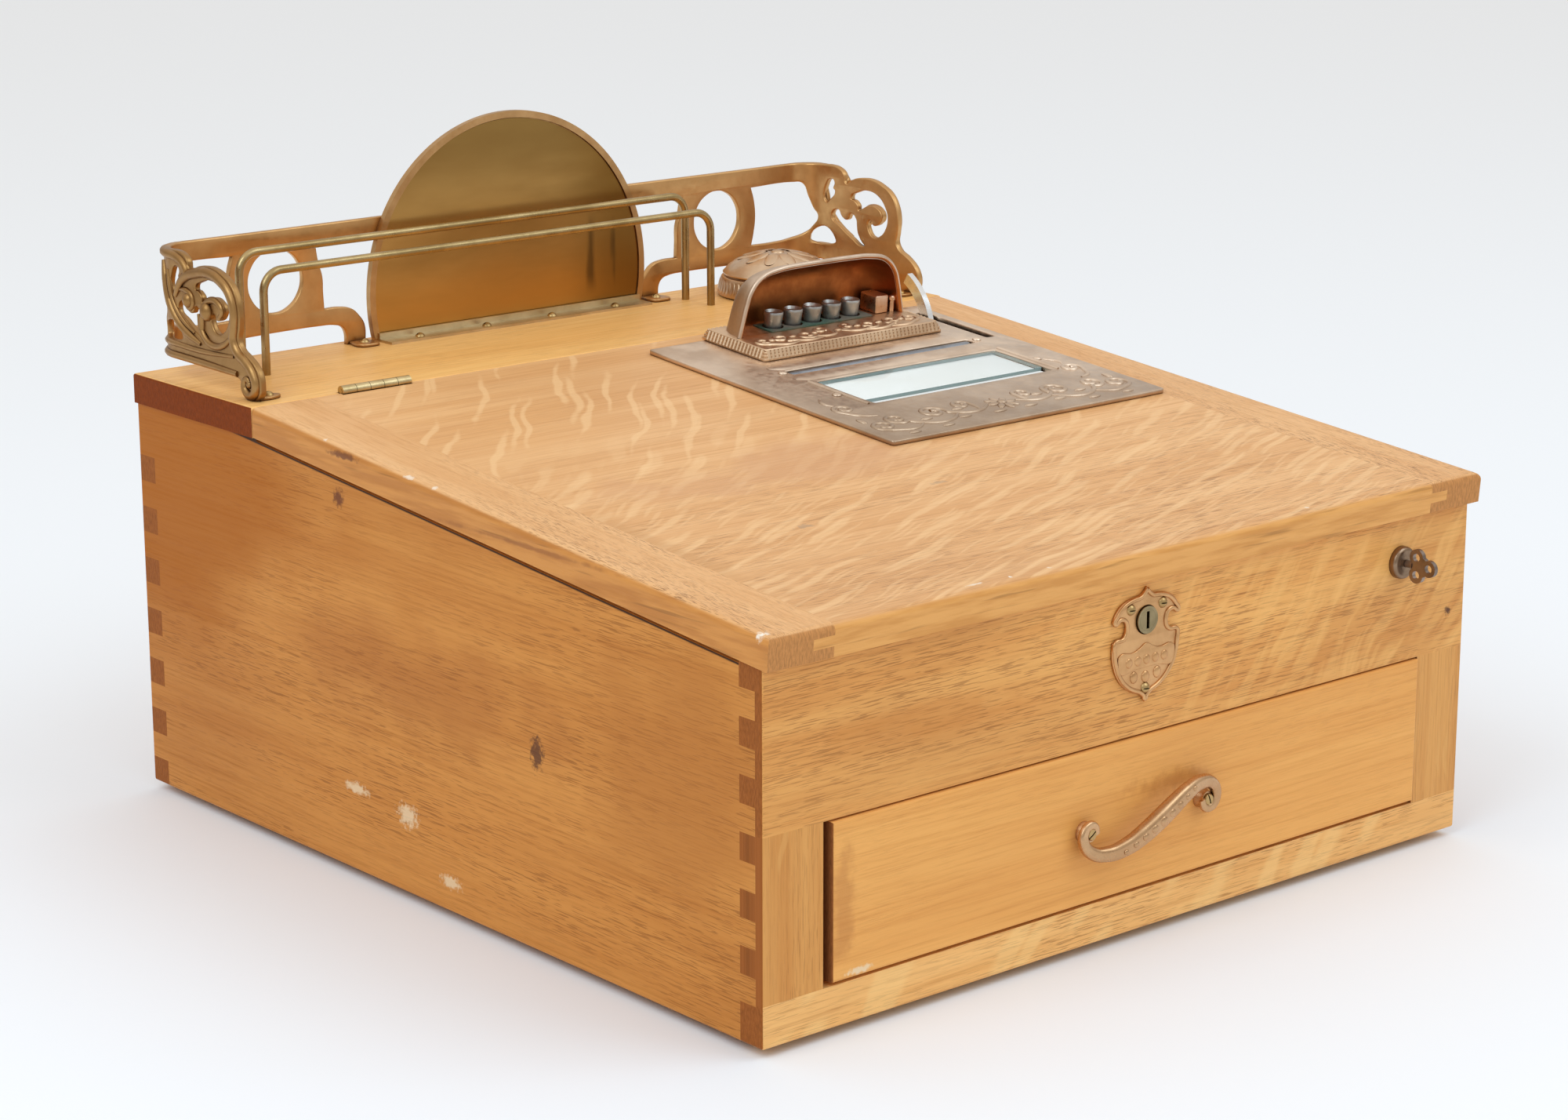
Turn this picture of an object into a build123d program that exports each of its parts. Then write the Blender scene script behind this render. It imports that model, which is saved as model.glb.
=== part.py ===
"""Counter-top oak till with a sloping writing lid, cash drawer, finger keys, bell and brass gallery.

Millimetres, +Z up, front towards -Y. The origin is on the counter, under the middle of the footprint.
Lid fittings are placed in the lid's own plane: x across, s down the slope from the hinge, h above the lid.
"""

import os
from math import atan, cos, degrees, radians, sin, sqrt, tan

from build123d import *

# Case
case_width = 508.0
case_depth = 551.0
front_height = 188.5
back_height = 225.5
board = 16.5
edge_round = 1.5
front_lap = 5.0
bottom_finger = 20.8
front_finger = 14.2
back_fingers = 15
stile_width = 38.0
lower_rail_height = 22.0
drawer_opening_height = 84.3
bottom_thickness = 8.0
bottom_lift = 4.0
deck_thickness = 6.0
deck_rise = 3.0
deck_front_gap = 14.0
cleat_size = 12.0
runner_width = 42.0
guide_height = 44.0
batten_gap = 0.2
foot_height = 5.0
foot_radius = 11.0
foot_inset = 34.0

# Fixed top board and lid
top_thickness = 17.0
top_depth = 123.0
lid_thickness = 16.5
lid_rest_gap = 0.5
side_top_gap = 1.6
lid_back_gap = 0.9
side_overhang = 1.5
front_overhang = 7.0
lid_round = 4.0
top_round = 1.5
cleat_width = 41.0
tongue_thickness = 5.5
tongue_length = 13.0

# Butt hinges
hinge_length = 46.0
hinge_inset = 79.5
hinge_rise = 1.0
knuckle_count = 5
knuckle_radius = 3.0
knuckle_gap = 0.3
leaf_thickness = 1.2
leaf_depth = 12.0
pin_radius = 1.25
running_gap = 0.05
part_gap = 0.4

# Gallery castings
gallery_inset = 11.0
gallery_setback = 10.0
gallery_wall = 2.8
gallery_height = 73.0
gallery_lift = 10.0
lower_band = 12.0
upper_band = 15.0
gallery_corner = 18.0
ring_hole = 18.5
ring_wall = 10.5
ring_from_end = 73.0
bracket_depth = 108.0
scroll_length = 66.0
scroll_height = 48.0
scroll_band = 6.5
scroll_setback = 53.0
scroll_level = 41.0
stem_width = 7.0
toe_radius = 9.5
tab_thickness = 2.0
tab_reach = 15.0
tab_width = 13.0
foot_width = 22.0

# Sign plate
sign_radius = 103.0
sign_level = 25.0
sign_rim = 4.0
sign_backing = 2.0
sign_rim_depth = 4.0
sign_sheet = 1.0
sheet_gap = 0.5
strip_depth = 14.0
strip_thickness = 1.5
strip_upstand = 5.0
strip_length = 196.0
strip_screws = 4
screw_head_radius = 3.0
screw_head_height = 2.0
screw_slot = 0.8

# Bent wire rails
wire_radius = 2.4
wire_bend = 12.0
wire_inset = 53.0
wire_bell_gap = 19.0
front_wire_height = 59.0
back_wire_height = 66.0
front_wire_from_hinge = 69.0
wire_pitch = 25.0
wire_sunk = 9.0

# Bell
bell_inset = 72.0
bell_from_hinge = 72.0
bell_radius = 38.0
bell_tier_radius = 33.0
bell_tier_height = 14.0
bell_height = 26.5
bell_wall = 1.6
bell_lift = 1.0
bell_base_radius = 26.0
bell_base_thickness = 2.0
bell_stud_radius = 4.0
hammer_pivot_radius = 2.0
hammer_pivot_offset = 12.0
hammer_ball_radius = 3.5
hammer_reach = 26.0
hammer_thickness = 2.5
hammer_level = 3.5

# Register plate and what it carries, in the lid plane
plate_inset = 38.0
plate_width = 212.0
plate_start = 20.5
plate_length = 214.0
plate_thickness = 3.0
plate_corner = 2.0
register_offset = 6.0
window_width = 140.0
window_start = 122.0
window_length = 50.0
glass_length = 42.0
glass_thickness = 2.4
glass_overlap = 4.0
ticket_slot_width = 144.0
ticket_slot_start = 96.0
ticket_slot_length = 8.0
well_left_margin = 24.0
well_right_margin = 3.0
well_start = 27.0
well_length = 160.0
plinth_width = 140.0
plinth_start = 18.0
plinth_length = 58.0
plinth_height = 6.5
plinth_flare = 2.5
hood_width = 128.0
hood_height = 39.0
hood_start = 22.0
hood_depth = 25.0
hood_lean = 9.0
hood_corner = 20.0
hood_wall = 2.5
hood_back_fall = 15.0
hood_back_draw = 12.0

# Finger keys
key_count = 5
key_pitch = 15.2
key_row = 36.0
key_radius = 6.0
key_height = 10.0
key_round = 1.2
key_travel = 4.0
key_gap = 0.35
key_stem_radius = 2.2
key_stem_length = 16.0
key_skirt = 6.5

# Thumb lever and paper rolls
roll_axis_s = 68.0
roll_axis_drop = 58.0
lever_inset = 10.0
lever_thickness = 4.0
lever_width = 7.0
lever_hub_radius = 8.0
lever_swing = 46.0
lever_base_s = 42.0
lever_top_s = 22.0
lever_top_h = 22.0
slot_side_gap = 1.6
slot_end_gap = 2.0
frame_wall = 3.0
frame_margin = 6.0
frame_lever_gap = 5.0
frame_start = 34.0
frame_length = 148.0
frame_depth = 60.0
takeup_radius = 16.0
supply_radius = 23.0
supply_s = 142.0
supply_drop = 48.0
roll_end_gap = 3.0
shaft_radius = 3.0
platen_thickness = 3.0
platen_margin = 8.0
paper_thickness = 0.4
paper_drop = 2.0
paper_margin = 6.0
paper_bend = 3.0
tie_rod_radius = 3.0

# Locks on the front
lock_below_lid = 21.5
lock_barrel_radius = 7.2
lock_plug_radius = 5.6
lock_proud = 2.6
keyway_width = 2.0
keyway_height = 9.0
keyway_depth = 4.0
cam_length = 16.0
cam_width = 8.0
cam_thickness = 2.5
lid_cam_gap = 6.5
cam_gap = 1.0
keeper_wall = 2.0
keeper_width = 12.0
keeper_start = 8.0
escutcheon_thickness = 1.6
shield_width = 49.0
shield_top_gap = 4.0
shield_bottom_gap = 17.2
drawer_lock_inset = 56.0
drawer_lock_below_lid = 25.5
collar_radius = 9.0
collar_height = 4.5
drawer_plug_radius = 4.5
tongue_catch = 8.0
tongue_width = 8.0
drawer_keeper_width = 16.0
drawer_keeper_height = 16.0
key_shank_radius = 2.0
key_shank_length = 5.0
bow_ring_radius = 4.6
bow_hole_radius = 2.3
bow_ring_offset = 5.6
bow_thickness = 2.6

# Drawer
drawer_gap = 2.0
drawer_front_gap = 4.5
drawer_right_gap = 0.7
drawer_foot_gap = 2.0
drawer_top_gap = 1.0
drawer_run_gap = 0.4
drawer_proud = 2.0
drawer_front_thickness = 19.0
drawer_side = 10.0
drawer_side_height = 62.0
drawer_back_clearance = 14.0
drawer_bottom_thickness = 5.0
drawer_bottom_lift = 4.0
drawer_front_round = 1.5
coin_bins = 6
note_bins = 4
coin_row_depth = 120.0
divider = 5.0
divider_height = 30.0
divider_gap = 0.3

# S-shaped pull
pull_spacing = 86.0
pull_height = 63.5
pull_eye_radius = 6.8
pull_bar_width = 7.5
pull_bar_thickness = 5.0
pull_standoff = 12.0
pull_rise = 12.5
pull_hook = 8.0
pull_screw_radius = 3.2
pull_screw_height = 1.2

# Levels and places that follow from the sizes above
front_reach = collar_height + key_shank_length + 2 * bow_ring_offset + bow_ring_radius
front = (front_reach - case_depth) / 2
back = front + case_depth
left = -case_width / 2
right = case_width / 2
base = foot_height
hinge_y = back - top_depth
slope = atan((back_height - front_height) / (case_depth - top_depth))
top_level = base + back_height + top_thickness
drawer_floor = base + lower_rail_height
drawer_ceiling = drawer_floor + drawer_opening_height
opening_left = left + stile_width
opening_right = right - stile_width
deck_level = drawer_ceiling + deck_rise
lid_top_back = base + back_height + (lid_rest_gap + lid_thickness) / cos(slope)
lid_length = (case_depth - top_depth + front_overhang) / cos(slope)
lid_left = left - side_overhang
lid_right = right + side_overhang
bell_x = right - bell_inset
wire_left = left + wire_inset
wire_right = bell_x - bell_radius - wire_bell_gap
plate_right = right - plate_inset
plate_x = plate_right - plate_width / 2
register_x = plate_x + register_offset
well_left = plate_right - plate_width + well_left_margin
well_right = plate_right - well_right_margin
lever_left = plate_right - lever_inset - lever_thickness / 2
lever_right = lever_left + lever_thickness
frame_left = well_left + frame_margin
frame_right = lever_left - frame_lever_gap - frame_wall
front_top = base + front_height
lock_z = front_top - lock_below_lid
tongue_z = front_top - drawer_lock_below_lid
drawer_lock_x = right - drawer_lock_inset
pivot_y = hinge_y - lid_back_gap / 2
pivot_z = max(top_level, lid_top_back) + hinge_rise

lid_plane = Plane(origin=(0, hinge_y, lid_top_back), x_dir=(1, 0, 0), z_dir=(0, -sin(slope), cos(slope)))
lid_normal = Axis(lid_plane.origin, lid_plane.z_dir)


def block(x0, x1, y0, y1, z0, z1, mode=Mode.ADD):
    """A box between two corners of the current workplane."""
    with Locations(((x0 + x1) / 2, (y0 + y1) / 2, (z0 + z1) / 2)):
        Box(abs(x1 - x0), abs(y1 - y0), abs(z1 - z0), mode=mode)


def rod(x0, x1, y, z, radius, mode=Mode.ADD):
    """A round bar along X of the current workplane."""
    with Locations(((x0 + x1) / 2, y, z)):
        Cylinder(radius, abs(x1 - x0), rotation=(0, 90, 0), mode=mode)


def lid_section(s):
    """The upright plane across the lid at s below the hinge: X across, Y along the lid's normal."""
    place = lid_plane.from_local_coords(Vector(0, -s, 0))
    return Plane(origin=place, x_dir=(1, 0, 0), z_dir=-lid_plane.y_dir)


def lid_side(x):
    """The plane that cuts the lid lengthways at x: X down the slope, Y along the lid's normal."""
    place = lid_plane.from_local_coords(Vector(x, 0, 0))
    return Plane(origin=place, x_dir=-lid_plane.y_dir, z_dir=(-1, 0, 0))


def fingers(start, step, first, last):
    """Bottom and top of every second joint finger above a level, from the first to before the last."""
    return [(start + k * step, start + (k + 1) * step) for k in range(first, last, 2)]


pieces = {}

# The outer form of the closed case, from which every case board is cut
with BuildPart() as case_form:
    with BuildSketch(Plane.YZ):
        with BuildLine():
            Polyline(
                (front, base),
                (back, base),
                (back, base + back_height),
                (hinge_y, base + back_height),
                (front, base + front_height),
                close=True,
            )
        make_face()
    extrude(amount=case_width / 2, both=True)
    upright = case_form.edges().filter_by(Axis.Z)
    lower = case_form.faces().sort_by(Axis.Z)[0].edges()
    fillet(upright + lower, edge_round)

rail_top = base + front_height + board
lap_y = front + front_lap
first_tail = base + bottom_finger
front_fingers = 2 * round((front_height - bottom_finger) / (2 * front_finger))
front_pins = [(base, first_tail), *fingers(first_tail, front_finger, 1, front_fingers - 1)]
front_pins.append((first_tail + (front_fingers - 1) * front_finger, rail_top))
front_tails = fingers(first_tail, front_finger, 0, front_fingers)
back_finger = back_height / back_fingers
back_pins = fingers(base, back_finger, 0, back_fingers - 2)
back_tails = fingers(base, back_finger, 1, back_fingers - 2)
back_tails.append((base + (back_fingers - 2) * back_finger, base + back_height))

# Case sides, planed down a little under the lid's ends and notched for the fingers of the back and, behind its
# lap, of the front
side_level = -lid_thickness - lid_rest_gap - side_top_gap
with BuildPart(lid_plane) as side_relief:
    block(left, right, -2 * lid_length, -2 * side_top_gap, side_level, 0)
for name, x0, x1 in (("left_side", left, left + board), ("right_side", right - board, right)):
    with BuildPart() as side:
        add(case_form.part)
        block(x0, x1, lap_y, back, base, base + back_height, mode=Mode.INTERSECT)
        add(side_relief.part, mode=Mode.SUBTRACT)
        for z0, z1 in front_pins:
            block(x0, x1, lap_y, front + board, z0, z1, mode=Mode.SUBTRACT)
        for z0, z1 in back_pins:
            block(x0, x1, back - board, back, z0, z1, mode=Mode.SUBTRACT)
    pieces[name] = side

# Back board, finger-jointed between the sides
with BuildPart() as back_board:
    add(case_form.part)
    block(left, right, back - board, back, base, base + back_height, mode=Mode.INTERSECT)
    for x0, x1 in ((left, left + board), (right - board, right)):
        for z0, z1 in back_tails:
            block(x0, x1, back - board, back, z0, z1, mode=Mode.SUBTRACT)
pieces["back_board"] = back_board

# Front frame: upper rail, two stiles and lower rail round the drawer opening, lapping over the sides
front_frame = {
    "front_upper_rail": (left, right, drawer_ceiling, rail_top),
    "front_left_stile": (left, opening_left, drawer_floor, drawer_ceiling),
    "front_right_stile": (opening_right, right, drawer_floor, drawer_ceiling),
    "front_lower_rail": (left, right, base, drawer_floor),
}
for name, (x0, x1, z0, z1) in front_frame.items():
    with BuildPart() as front_piece:
        add(case_form.part)
        block(x0, x1, front, front + board, z0, z1, mode=Mode.INTERSECT)
        for side_x0, side_x1 in ((left, left + board), (right - board, right)):
            for low, high in front_tails:
                block(side_x0, side_x1, lap_y, front + board, low, high, mode=Mode.SUBTRACT)
        if name == "front_upper_rail":
            for x, z, radius in (
                (0, lock_z, lock_barrel_radius),
                (drawer_lock_x, tongue_z, lock_barrel_radius),
            ):
                with Locations((x, front + board / 2, z)):
                    Cylinder(radius, 2 * board, rotation=(90, 0, 0), mode=Mode.SUBTRACT)
    pieces[name] = front_piece

# Bottom board, set a little above the lower edges
inside_left = left + board
inside_right = right - board
inside_front = front + board
inside_back = back - board
bottom_top = base + bottom_lift + bottom_thickness
with BuildPart() as bottom_board:
    block(inside_left, inside_right, inside_front, inside_back, base + bottom_lift, bottom_top)
pieces["bottom_board"] = bottom_board

# Deck board between the drawer and the compartment under the lid
with BuildPart() as deck_board:
    block(
        inside_left, inside_right, inside_front + deck_front_gap, inside_back,
        deck_level, deck_level + deck_thickness,
    )
pieces["deck_board"] = deck_board

# Runners under the drawer, guides beside it and cleats under the deck
with BuildPart() as inner_battens:
    for wall, turn, opening in ((inside_left, 1, opening_left), (inside_right, -1, opening_right)):
        block(wall, wall + turn * runner_width, inside_front, inside_back, bottom_top, drawer_floor)
        block(
            wall, opening, inside_front + batten_gap, inside_back - batten_gap,
            drawer_floor + batten_gap, drawer_floor + guide_height,
        )
        block(
            wall, wall + turn * cleat_size, inside_front + deck_front_gap, inside_back,
            deck_level - cleat_size, deck_level,
        )
pieces["inner_battens"] = inner_battens

# Four round feet, glued under the bottom board
with BuildPart() as feet:
    for x in (left + foot_inset, right - foot_inset):
        for y in (front + foot_inset, back - foot_inset):
            with Locations((x, y, (base + bottom_lift) / 2)):
                Cylinder(foot_radius, base + bottom_lift)
pieces["feet"] = feet

hinge_centres = (left + hinge_inset, right - hinge_inset)
notch = knuckle_radius + part_gap


def cut_hinge_seat(edge_y, into):
    """Seat of the knuckles and of one leaf in a board's edge; into is +1 behind the hinge, -1 before it."""
    for x in hinge_centres:
        x0 = x - hinge_length / 2 - part_gap
        x1 = x + hinge_length / 2 + part_gap
        block(x0, x1, pivot_y, pivot_y + into * notch, pivot_z - notch, pivot_z + notch, mode=Mode.SUBTRACT)
        block(
            x0, x1, edge_y, edge_y + into * leaf_thickness, pivot_z - leaf_depth, pivot_z,
            mode=Mode.SUBTRACT,
        )


# Fixed top board, with the seats of the case leaves and the holes of the wires
wire_rows = (hinge_y + front_wire_from_hinge, hinge_y + front_wire_from_hinge + wire_pitch)
with BuildPart() as top_board:
    block(lid_left, lid_right, hinge_y, back, base + back_height, top_level)
    fillet(top_board.faces().sort_by(Axis.Z)[-1].edges(), top_round)
    cut_hinge_seat(hinge_y, 1)
    for y in wire_rows:
        for x in (wire_left, wire_right):
            with Locations((x, y, top_level - wire_sunk / 2)):
                Cylinder(wire_radius, wire_sunk, mode=Mode.SUBTRACT)
pieces["top_board"] = top_board

# Bent wire rails standing in the top board
for name, y, height in (
    ("wire_rail_front", wire_rows[0], front_wire_height),
    ("wire_rail_back", wire_rows[1], back_wire_height),
):
    foot_z = top_level - wire_sunk
    crown_z = top_level + height
    with BuildPart() as wire_rail:
        with BuildLine() as wire_path:
            FilletPolyline(
                (wire_left, y, foot_z),
                (wire_left, y, crown_z),
                (wire_right, y, crown_z),
                (wire_right, y, foot_z),
                radius=wire_bend,
            )
        with BuildSketch(Plane(origin=(wire_left, y, foot_z), z_dir=(0, 0, 1))):
            Circle(wire_radius)
        sweep()
    pieces[name] = wire_rail

# Gallery: pierced back rail, rounded corner and scroll bracket in one casting, made left and mirrored
rail_y = back - gallery_setback
bracket_x = left + gallery_inset
rail_low = top_level + gallery_lift
rail_high = top_level + gallery_height
pierce_low = rail_low + lower_band
pierce_high = rail_high - upper_band
sign_half = sqrt(sign_radius**2 - (gallery_height - sign_level) ** 2)
rail_end = -sign_half + sign_rim
ring_x = bracket_x + ring_from_end
ring_z = (pierce_low + pierce_high) / 2
corner_end = rail_y - gallery_corner
toe_y = rail_y - bracket_depth + toe_radius
scroll_y = rail_y - scroll_setback
scroll_z = top_level + scroll_level
bracket_plane = Plane(origin=(bracket_x - gallery_wall / 2, 0, 0), x_dir=(0, 1, 0), z_dir=(1, 0, 0))
rail_plane = Plane(origin=(0, rail_y + gallery_wall / 2, 0), x_dir=(1, 0, 0), z_dir=(0, -1, 0))
inner_tab = -sign_radius - part_gap - tab_width
with BuildPart() as gallery_left:
    with BuildSketch(Plane.XY.offset(rail_low)) as rail_plan:
        with BuildLine():
            FilletPolyline(
                (rail_end, rail_y), (bracket_x, rail_y), (bracket_x, corner_end - 1),
                radius=gallery_corner,
            )
        trace(line_width=gallery_wall)
    extrude(amount=gallery_height - gallery_lift)
    block(
        bracket_x - gallery_wall, rail_end + 1, corner_end - gallery_wall, rail_y + gallery_wall,
        pierce_low, pierce_high, mode=Mode.SUBTRACT,
    )
    with BuildSketch(rail_plane):
        with Locations((ring_x, ring_z)):
            Circle(ring_hole + ring_wall)
            Circle(ring_hole, mode=Mode.SUBTRACT)
        with Locations((inner_tab + foot_width / 2, (top_level + pierce_low) / 2)):
            Rectangle(foot_width, pierce_low - top_level)
    extrude(amount=gallery_wall)
    with BuildSketch(bracket_plane):
        with Locations((scroll_y, scroll_z)):
            Ellipse(scroll_length / 2, scroll_height / 2)
            Ellipse(scroll_length / 2 - scroll_band, scroll_height / 2 - scroll_band, mode=Mode.SUBTRACT)
        with BuildLine():
            ThreePointArc(
                (corner_end + stem_width / 2, pierce_high + stem_width),
                (scroll_y + scroll_length * 0.4, scroll_z - scroll_height * 0.2),
                (scroll_y, pierce_low - stem_width / 2),
            )
        trace(line_width=stem_width)
        with BuildLine():
            Polyline(
                (scroll_y - scroll_length / 2 + stem_width, scroll_z),
                (toe_y + 2 * toe_radius, rail_low + lower_band),
                (toe_y, top_level + toe_radius),
            )
        trace(line_width=stem_width)
        with Locations((toe_y, top_level + toe_radius)):
            Circle(toe_radius)
        with Locations(((toe_y + corner_end) / 2, rail_low + lower_band / 2)):
            Rectangle(corner_end - toe_y, lower_band)
        with Locations((corner_end - stem_width / 2, rail_high - upper_band / 2)):
            Rectangle(2 * stem_width, upper_band)
        for share in (-0.16, 0.16):
            with Locations((scroll_y + share * scroll_length, scroll_z - scroll_height / 4)):
                Circle(stem_width)
    extrude(amount=gallery_wall)
    block(
        inner_tab, inner_tab + tab_width, rail_y - tab_reach, rail_y,
        top_level, top_level + tab_thickness,
    )
    block(
        bracket_x, bracket_x + tab_reach, toe_y - toe_radius / 2, toe_y + toe_radius / 2,
        top_level, top_level + tab_thickness,
    )
pieces["gallery_left"] = gallery_left

with BuildPart() as gallery_right:
    mirror(gallery_left.part, about=Plane.YZ)
pieces["gallery_right"] = gallery_right

# Round sign plate in front of the gallery's rail: rimmed backing, sheet face and a foot strip
sign_back_y = rail_y - gallery_wall / 2
sign_plane = Plane(origin=(0, sign_back_y, 0), x_dir=(1, 0, 0), z_dir=(0, -1, 0))
sheet_y = sign_back_y - sign_backing


def sign_outline(inset):
    """A disc that stands on a straight foot."""
    with BuildSketch(sign_plane) as outline:
        with Locations((0, top_level + sign_level)):
            Circle(sign_radius - inset)
        with Locations((0, top_level + inset + sign_radius)):
            Rectangle(2 * sign_radius, 2 * sign_radius, mode=Mode.INTERSECT)
    return outline.sketch


with BuildPart() as sign_backing_plate:
    extrude(sign_outline(0), amount=sign_rim_depth)
    extrude(sign_outline(sign_rim), amount=sign_rim_depth, mode=Mode.SUBTRACT)
    extrude(sign_outline(0), amount=sign_backing)
pieces["sign_backing"] = sign_backing_plate

with BuildPart() as sign_face:
    extrude(sign_outline(sign_rim + sheet_gap), amount=sign_backing + sign_sheet)
    block(-sign_radius, sign_radius, sheet_y, sign_back_y, 0, 2 * top_level, mode=Mode.SUBTRACT)
pieces["sign_face"] = sign_face

strip_back = sign_back_y - sign_rim_depth
with BuildPart() as sign_foot_strip:
    block(
        -strip_length / 2, strip_length / 2, strip_back - strip_depth, strip_back,
        top_level, top_level + strip_thickness,
    )
    block(
        -strip_length / 2, strip_length / 2, strip_back - strip_thickness, strip_back,
        top_level, top_level + strip_upstand,
    )
pieces["sign_foot_strip"] = sign_foot_strip

# Bell: base with its stud and hammer pivot, turned dome, and a hammer inside
bell_y = hinge_y + bell_from_hinge
bell_plane = Plane(origin=(bell_x, bell_y, top_level))
dome_inside = bell_height - bell_wall
inner_rim = bell_radius - bell_wall
inner_tier = bell_tier_radius - bell_wall
inner_rise = bell_height - bell_tier_height
inner_curve = (inner_tier**2 + inner_rise**2) / (2 * inner_rise)
stud_top = dome_inside - inner_curve + sqrt(inner_curve**2 - bell_stud_radius**2)
with BuildPart(bell_plane) as bell_base:
    with Locations((0, 0, bell_base_thickness / 2)):
        Cylinder(bell_base_radius, bell_base_thickness)
    with Locations((0, 0, stud_top / 2)):
        Cylinder(bell_stud_radius, stud_top)
    with Locations((hammer_pivot_offset, 0, (hammer_level + 2 * hammer_thickness) / 2)):
        Cylinder(hammer_pivot_radius, hammer_level + 2 * hammer_thickness)
pieces["bell_base"] = bell_base


dome_section = Plane(origin=bell_plane.origin, x_dir=(1, 0, 0), z_dir=(0, -1, 0))
with BuildPart() as bell_dome:
    with BuildSketch(dome_section):
        with BuildLine():
            Line((inner_rim, bell_lift), (bell_radius, bell_lift))
            TangentArc((bell_radius, bell_lift), (bell_tier_radius, bell_tier_height), tangent=(0, 1))
            TangentArc((0, bell_height), (bell_tier_radius, bell_tier_height), tangent=(1, 0))
            Line((0, bell_height), (0, dome_inside))
            TangentArc((0, dome_inside), (inner_tier, bell_tier_height - bell_wall), tangent=(1, 0))
            Line((inner_tier, bell_tier_height - bell_wall), (inner_rim, bell_lift))
        make_face()
    revolve(axis=Axis(bell_plane.origin, (0, 0, 1)))
pieces["bell_dome"] = bell_dome

with BuildPart(bell_plane) as bell_hammer:
    hammer_z = hammer_level + hammer_thickness / 2
    with Locations((hammer_pivot_offset, 0, hammer_z)):
        Cylinder(2 * hammer_pivot_radius, hammer_thickness)
    block(
        hammer_pivot_offset - hammer_pivot_radius, hammer_pivot_offset + hammer_pivot_radius,
        -hammer_reach, 0, hammer_level, hammer_level + hammer_thickness,
    )
    with Locations((hammer_pivot_offset, -hammer_reach, hammer_z)):
        Cylinder(hammer_ball_radius, hammer_thickness)
    with Locations((hammer_pivot_offset, 0, hammer_z)):
        Cylinder(hammer_pivot_radius + running_gap, 2 * hammer_thickness, mode=Mode.SUBTRACT)
pieces["bell_hammer"] = bell_hammer

# Lid: one outer form, cut into the panel with its tongues and the two grooved cleats
with BuildPart() as lid_form:
    with BuildSketch(Plane.YZ):
        lid_front = lid_plane.from_local_coords(Vector(0, -lid_length, 0))
        lid_front_low = lid_plane.from_local_coords(Vector(0, -lid_length, -lid_thickness))
        back_drop = lid_back_gap * tan(slope)
        with BuildLine():
            Polyline(
                (hinge_y - lid_back_gap, lid_top_back - back_drop),
                (hinge_y - lid_back_gap, lid_top_back - back_drop - lid_thickness / cos(slope)),
                (lid_front_low.Y, lid_front_low.Z),
                (lid_front.Y, lid_front.Z),
                close=True,
            )
        make_face()
    extrude(amount=case_width / 2 + side_overhang, both=True)
    top_edges = lid_form.faces().sort_by(lid_normal)[-1].edges().sort_by(Axis.Y)[:-1]
    fillet(top_edges, lid_round)
    cut_hinge_seat(hinge_y - lid_back_gap, -1)

panel_left = lid_left + cleat_width
panel_right = lid_right - cleat_width
mid_depth = -lid_thickness / 2
tongue_low = mid_depth - tongue_thickness / 2
tongue_high = mid_depth + tongue_thickness / 2
panel_zone = (-2 * lid_length, lid_length, -2 * lid_thickness, lid_thickness)
tongue_zone = (-2 * lid_length, lid_length, tongue_low, tongue_high)
well_end = well_start + well_length
with BuildPart(lid_plane) as panel_shape:
    block(panel_left, panel_right, *panel_zone)
    block(panel_left - tongue_length, panel_right + tongue_length, *tongue_zone)
    block(
        well_left, well_right, -well_end, -well_start, -2 * lid_thickness, lid_thickness,
        mode=Mode.SUBTRACT,
    )

with BuildPart() as lid_panel:
    add(lid_form.part)
    add(panel_shape.part, mode=Mode.INTERSECT)
pieces["lid_panel"] = lid_panel

for name, x0, x1 in (("lid_left_cleat", lid_left, panel_left), ("lid_right_cleat", panel_right, lid_right)):
    with BuildPart(lid_plane) as cleat_shape:
        block(x0, x1, *panel_zone)
        block(panel_left - tongue_length, panel_right + tongue_length, *tongue_zone, mode=Mode.SUBTRACT)
    with BuildPart() as lid_cleat:
        add(lid_form.part)
        add(cleat_shape.part, mode=Mode.INTERSECT)
    pieces[name] = lid_cleat

# Butt hinges: the case leaves carry the outer and middle knuckles, the lid leaves the other two
knuckle_pitch = hinge_length / knuckle_count
for name, edge_y, into, odd in (
    ("hinge_case_leaves", hinge_y, 1, 0),
    ("hinge_lid_leaves", hinge_y - lid_back_gap, -1, 1),
):
    with BuildPart() as leaves:
        for x in hinge_centres:
            x0 = x - hinge_length / 2
            block(
                x0, x0 + hinge_length, edge_y, edge_y + into * leaf_thickness,
                pivot_z - leaf_depth, pivot_z,
            )
        for x in hinge_centres:
            for k in range(knuckle_count):
                k0 = x - hinge_length / 2 + k * knuckle_pitch
                k1 = k0 + knuckle_pitch
                if k % 2 == odd:
                    rod(k0 + knuckle_gap / 2, k1 - knuckle_gap / 2, pivot_y, pivot_z, knuckle_radius)
        for x in hinge_centres:
            for k in range(knuckle_count):
                k0 = x - hinge_length / 2 + k * knuckle_pitch
                k1 = k0 + knuckle_pitch
                if k % 2 != odd:
                    rod(
                        k0 - knuckle_gap / 2, k1 + knuckle_gap / 2, pivot_y, pivot_z, notch,
                        mode=Mode.SUBTRACT,
                    )
            rod(
                x - hinge_length, x + hinge_length, pivot_y, pivot_z,
                pin_radius + running_gap, mode=Mode.SUBTRACT,
            )
    pieces[name] = leaves

with BuildPart() as hinge_pins:
    for x in hinge_centres:
        rod(x - hinge_length / 2, x + hinge_length / 2, pivot_y, pivot_z, pin_radius)
pieces["hinge_pins"] = hinge_pins

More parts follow.
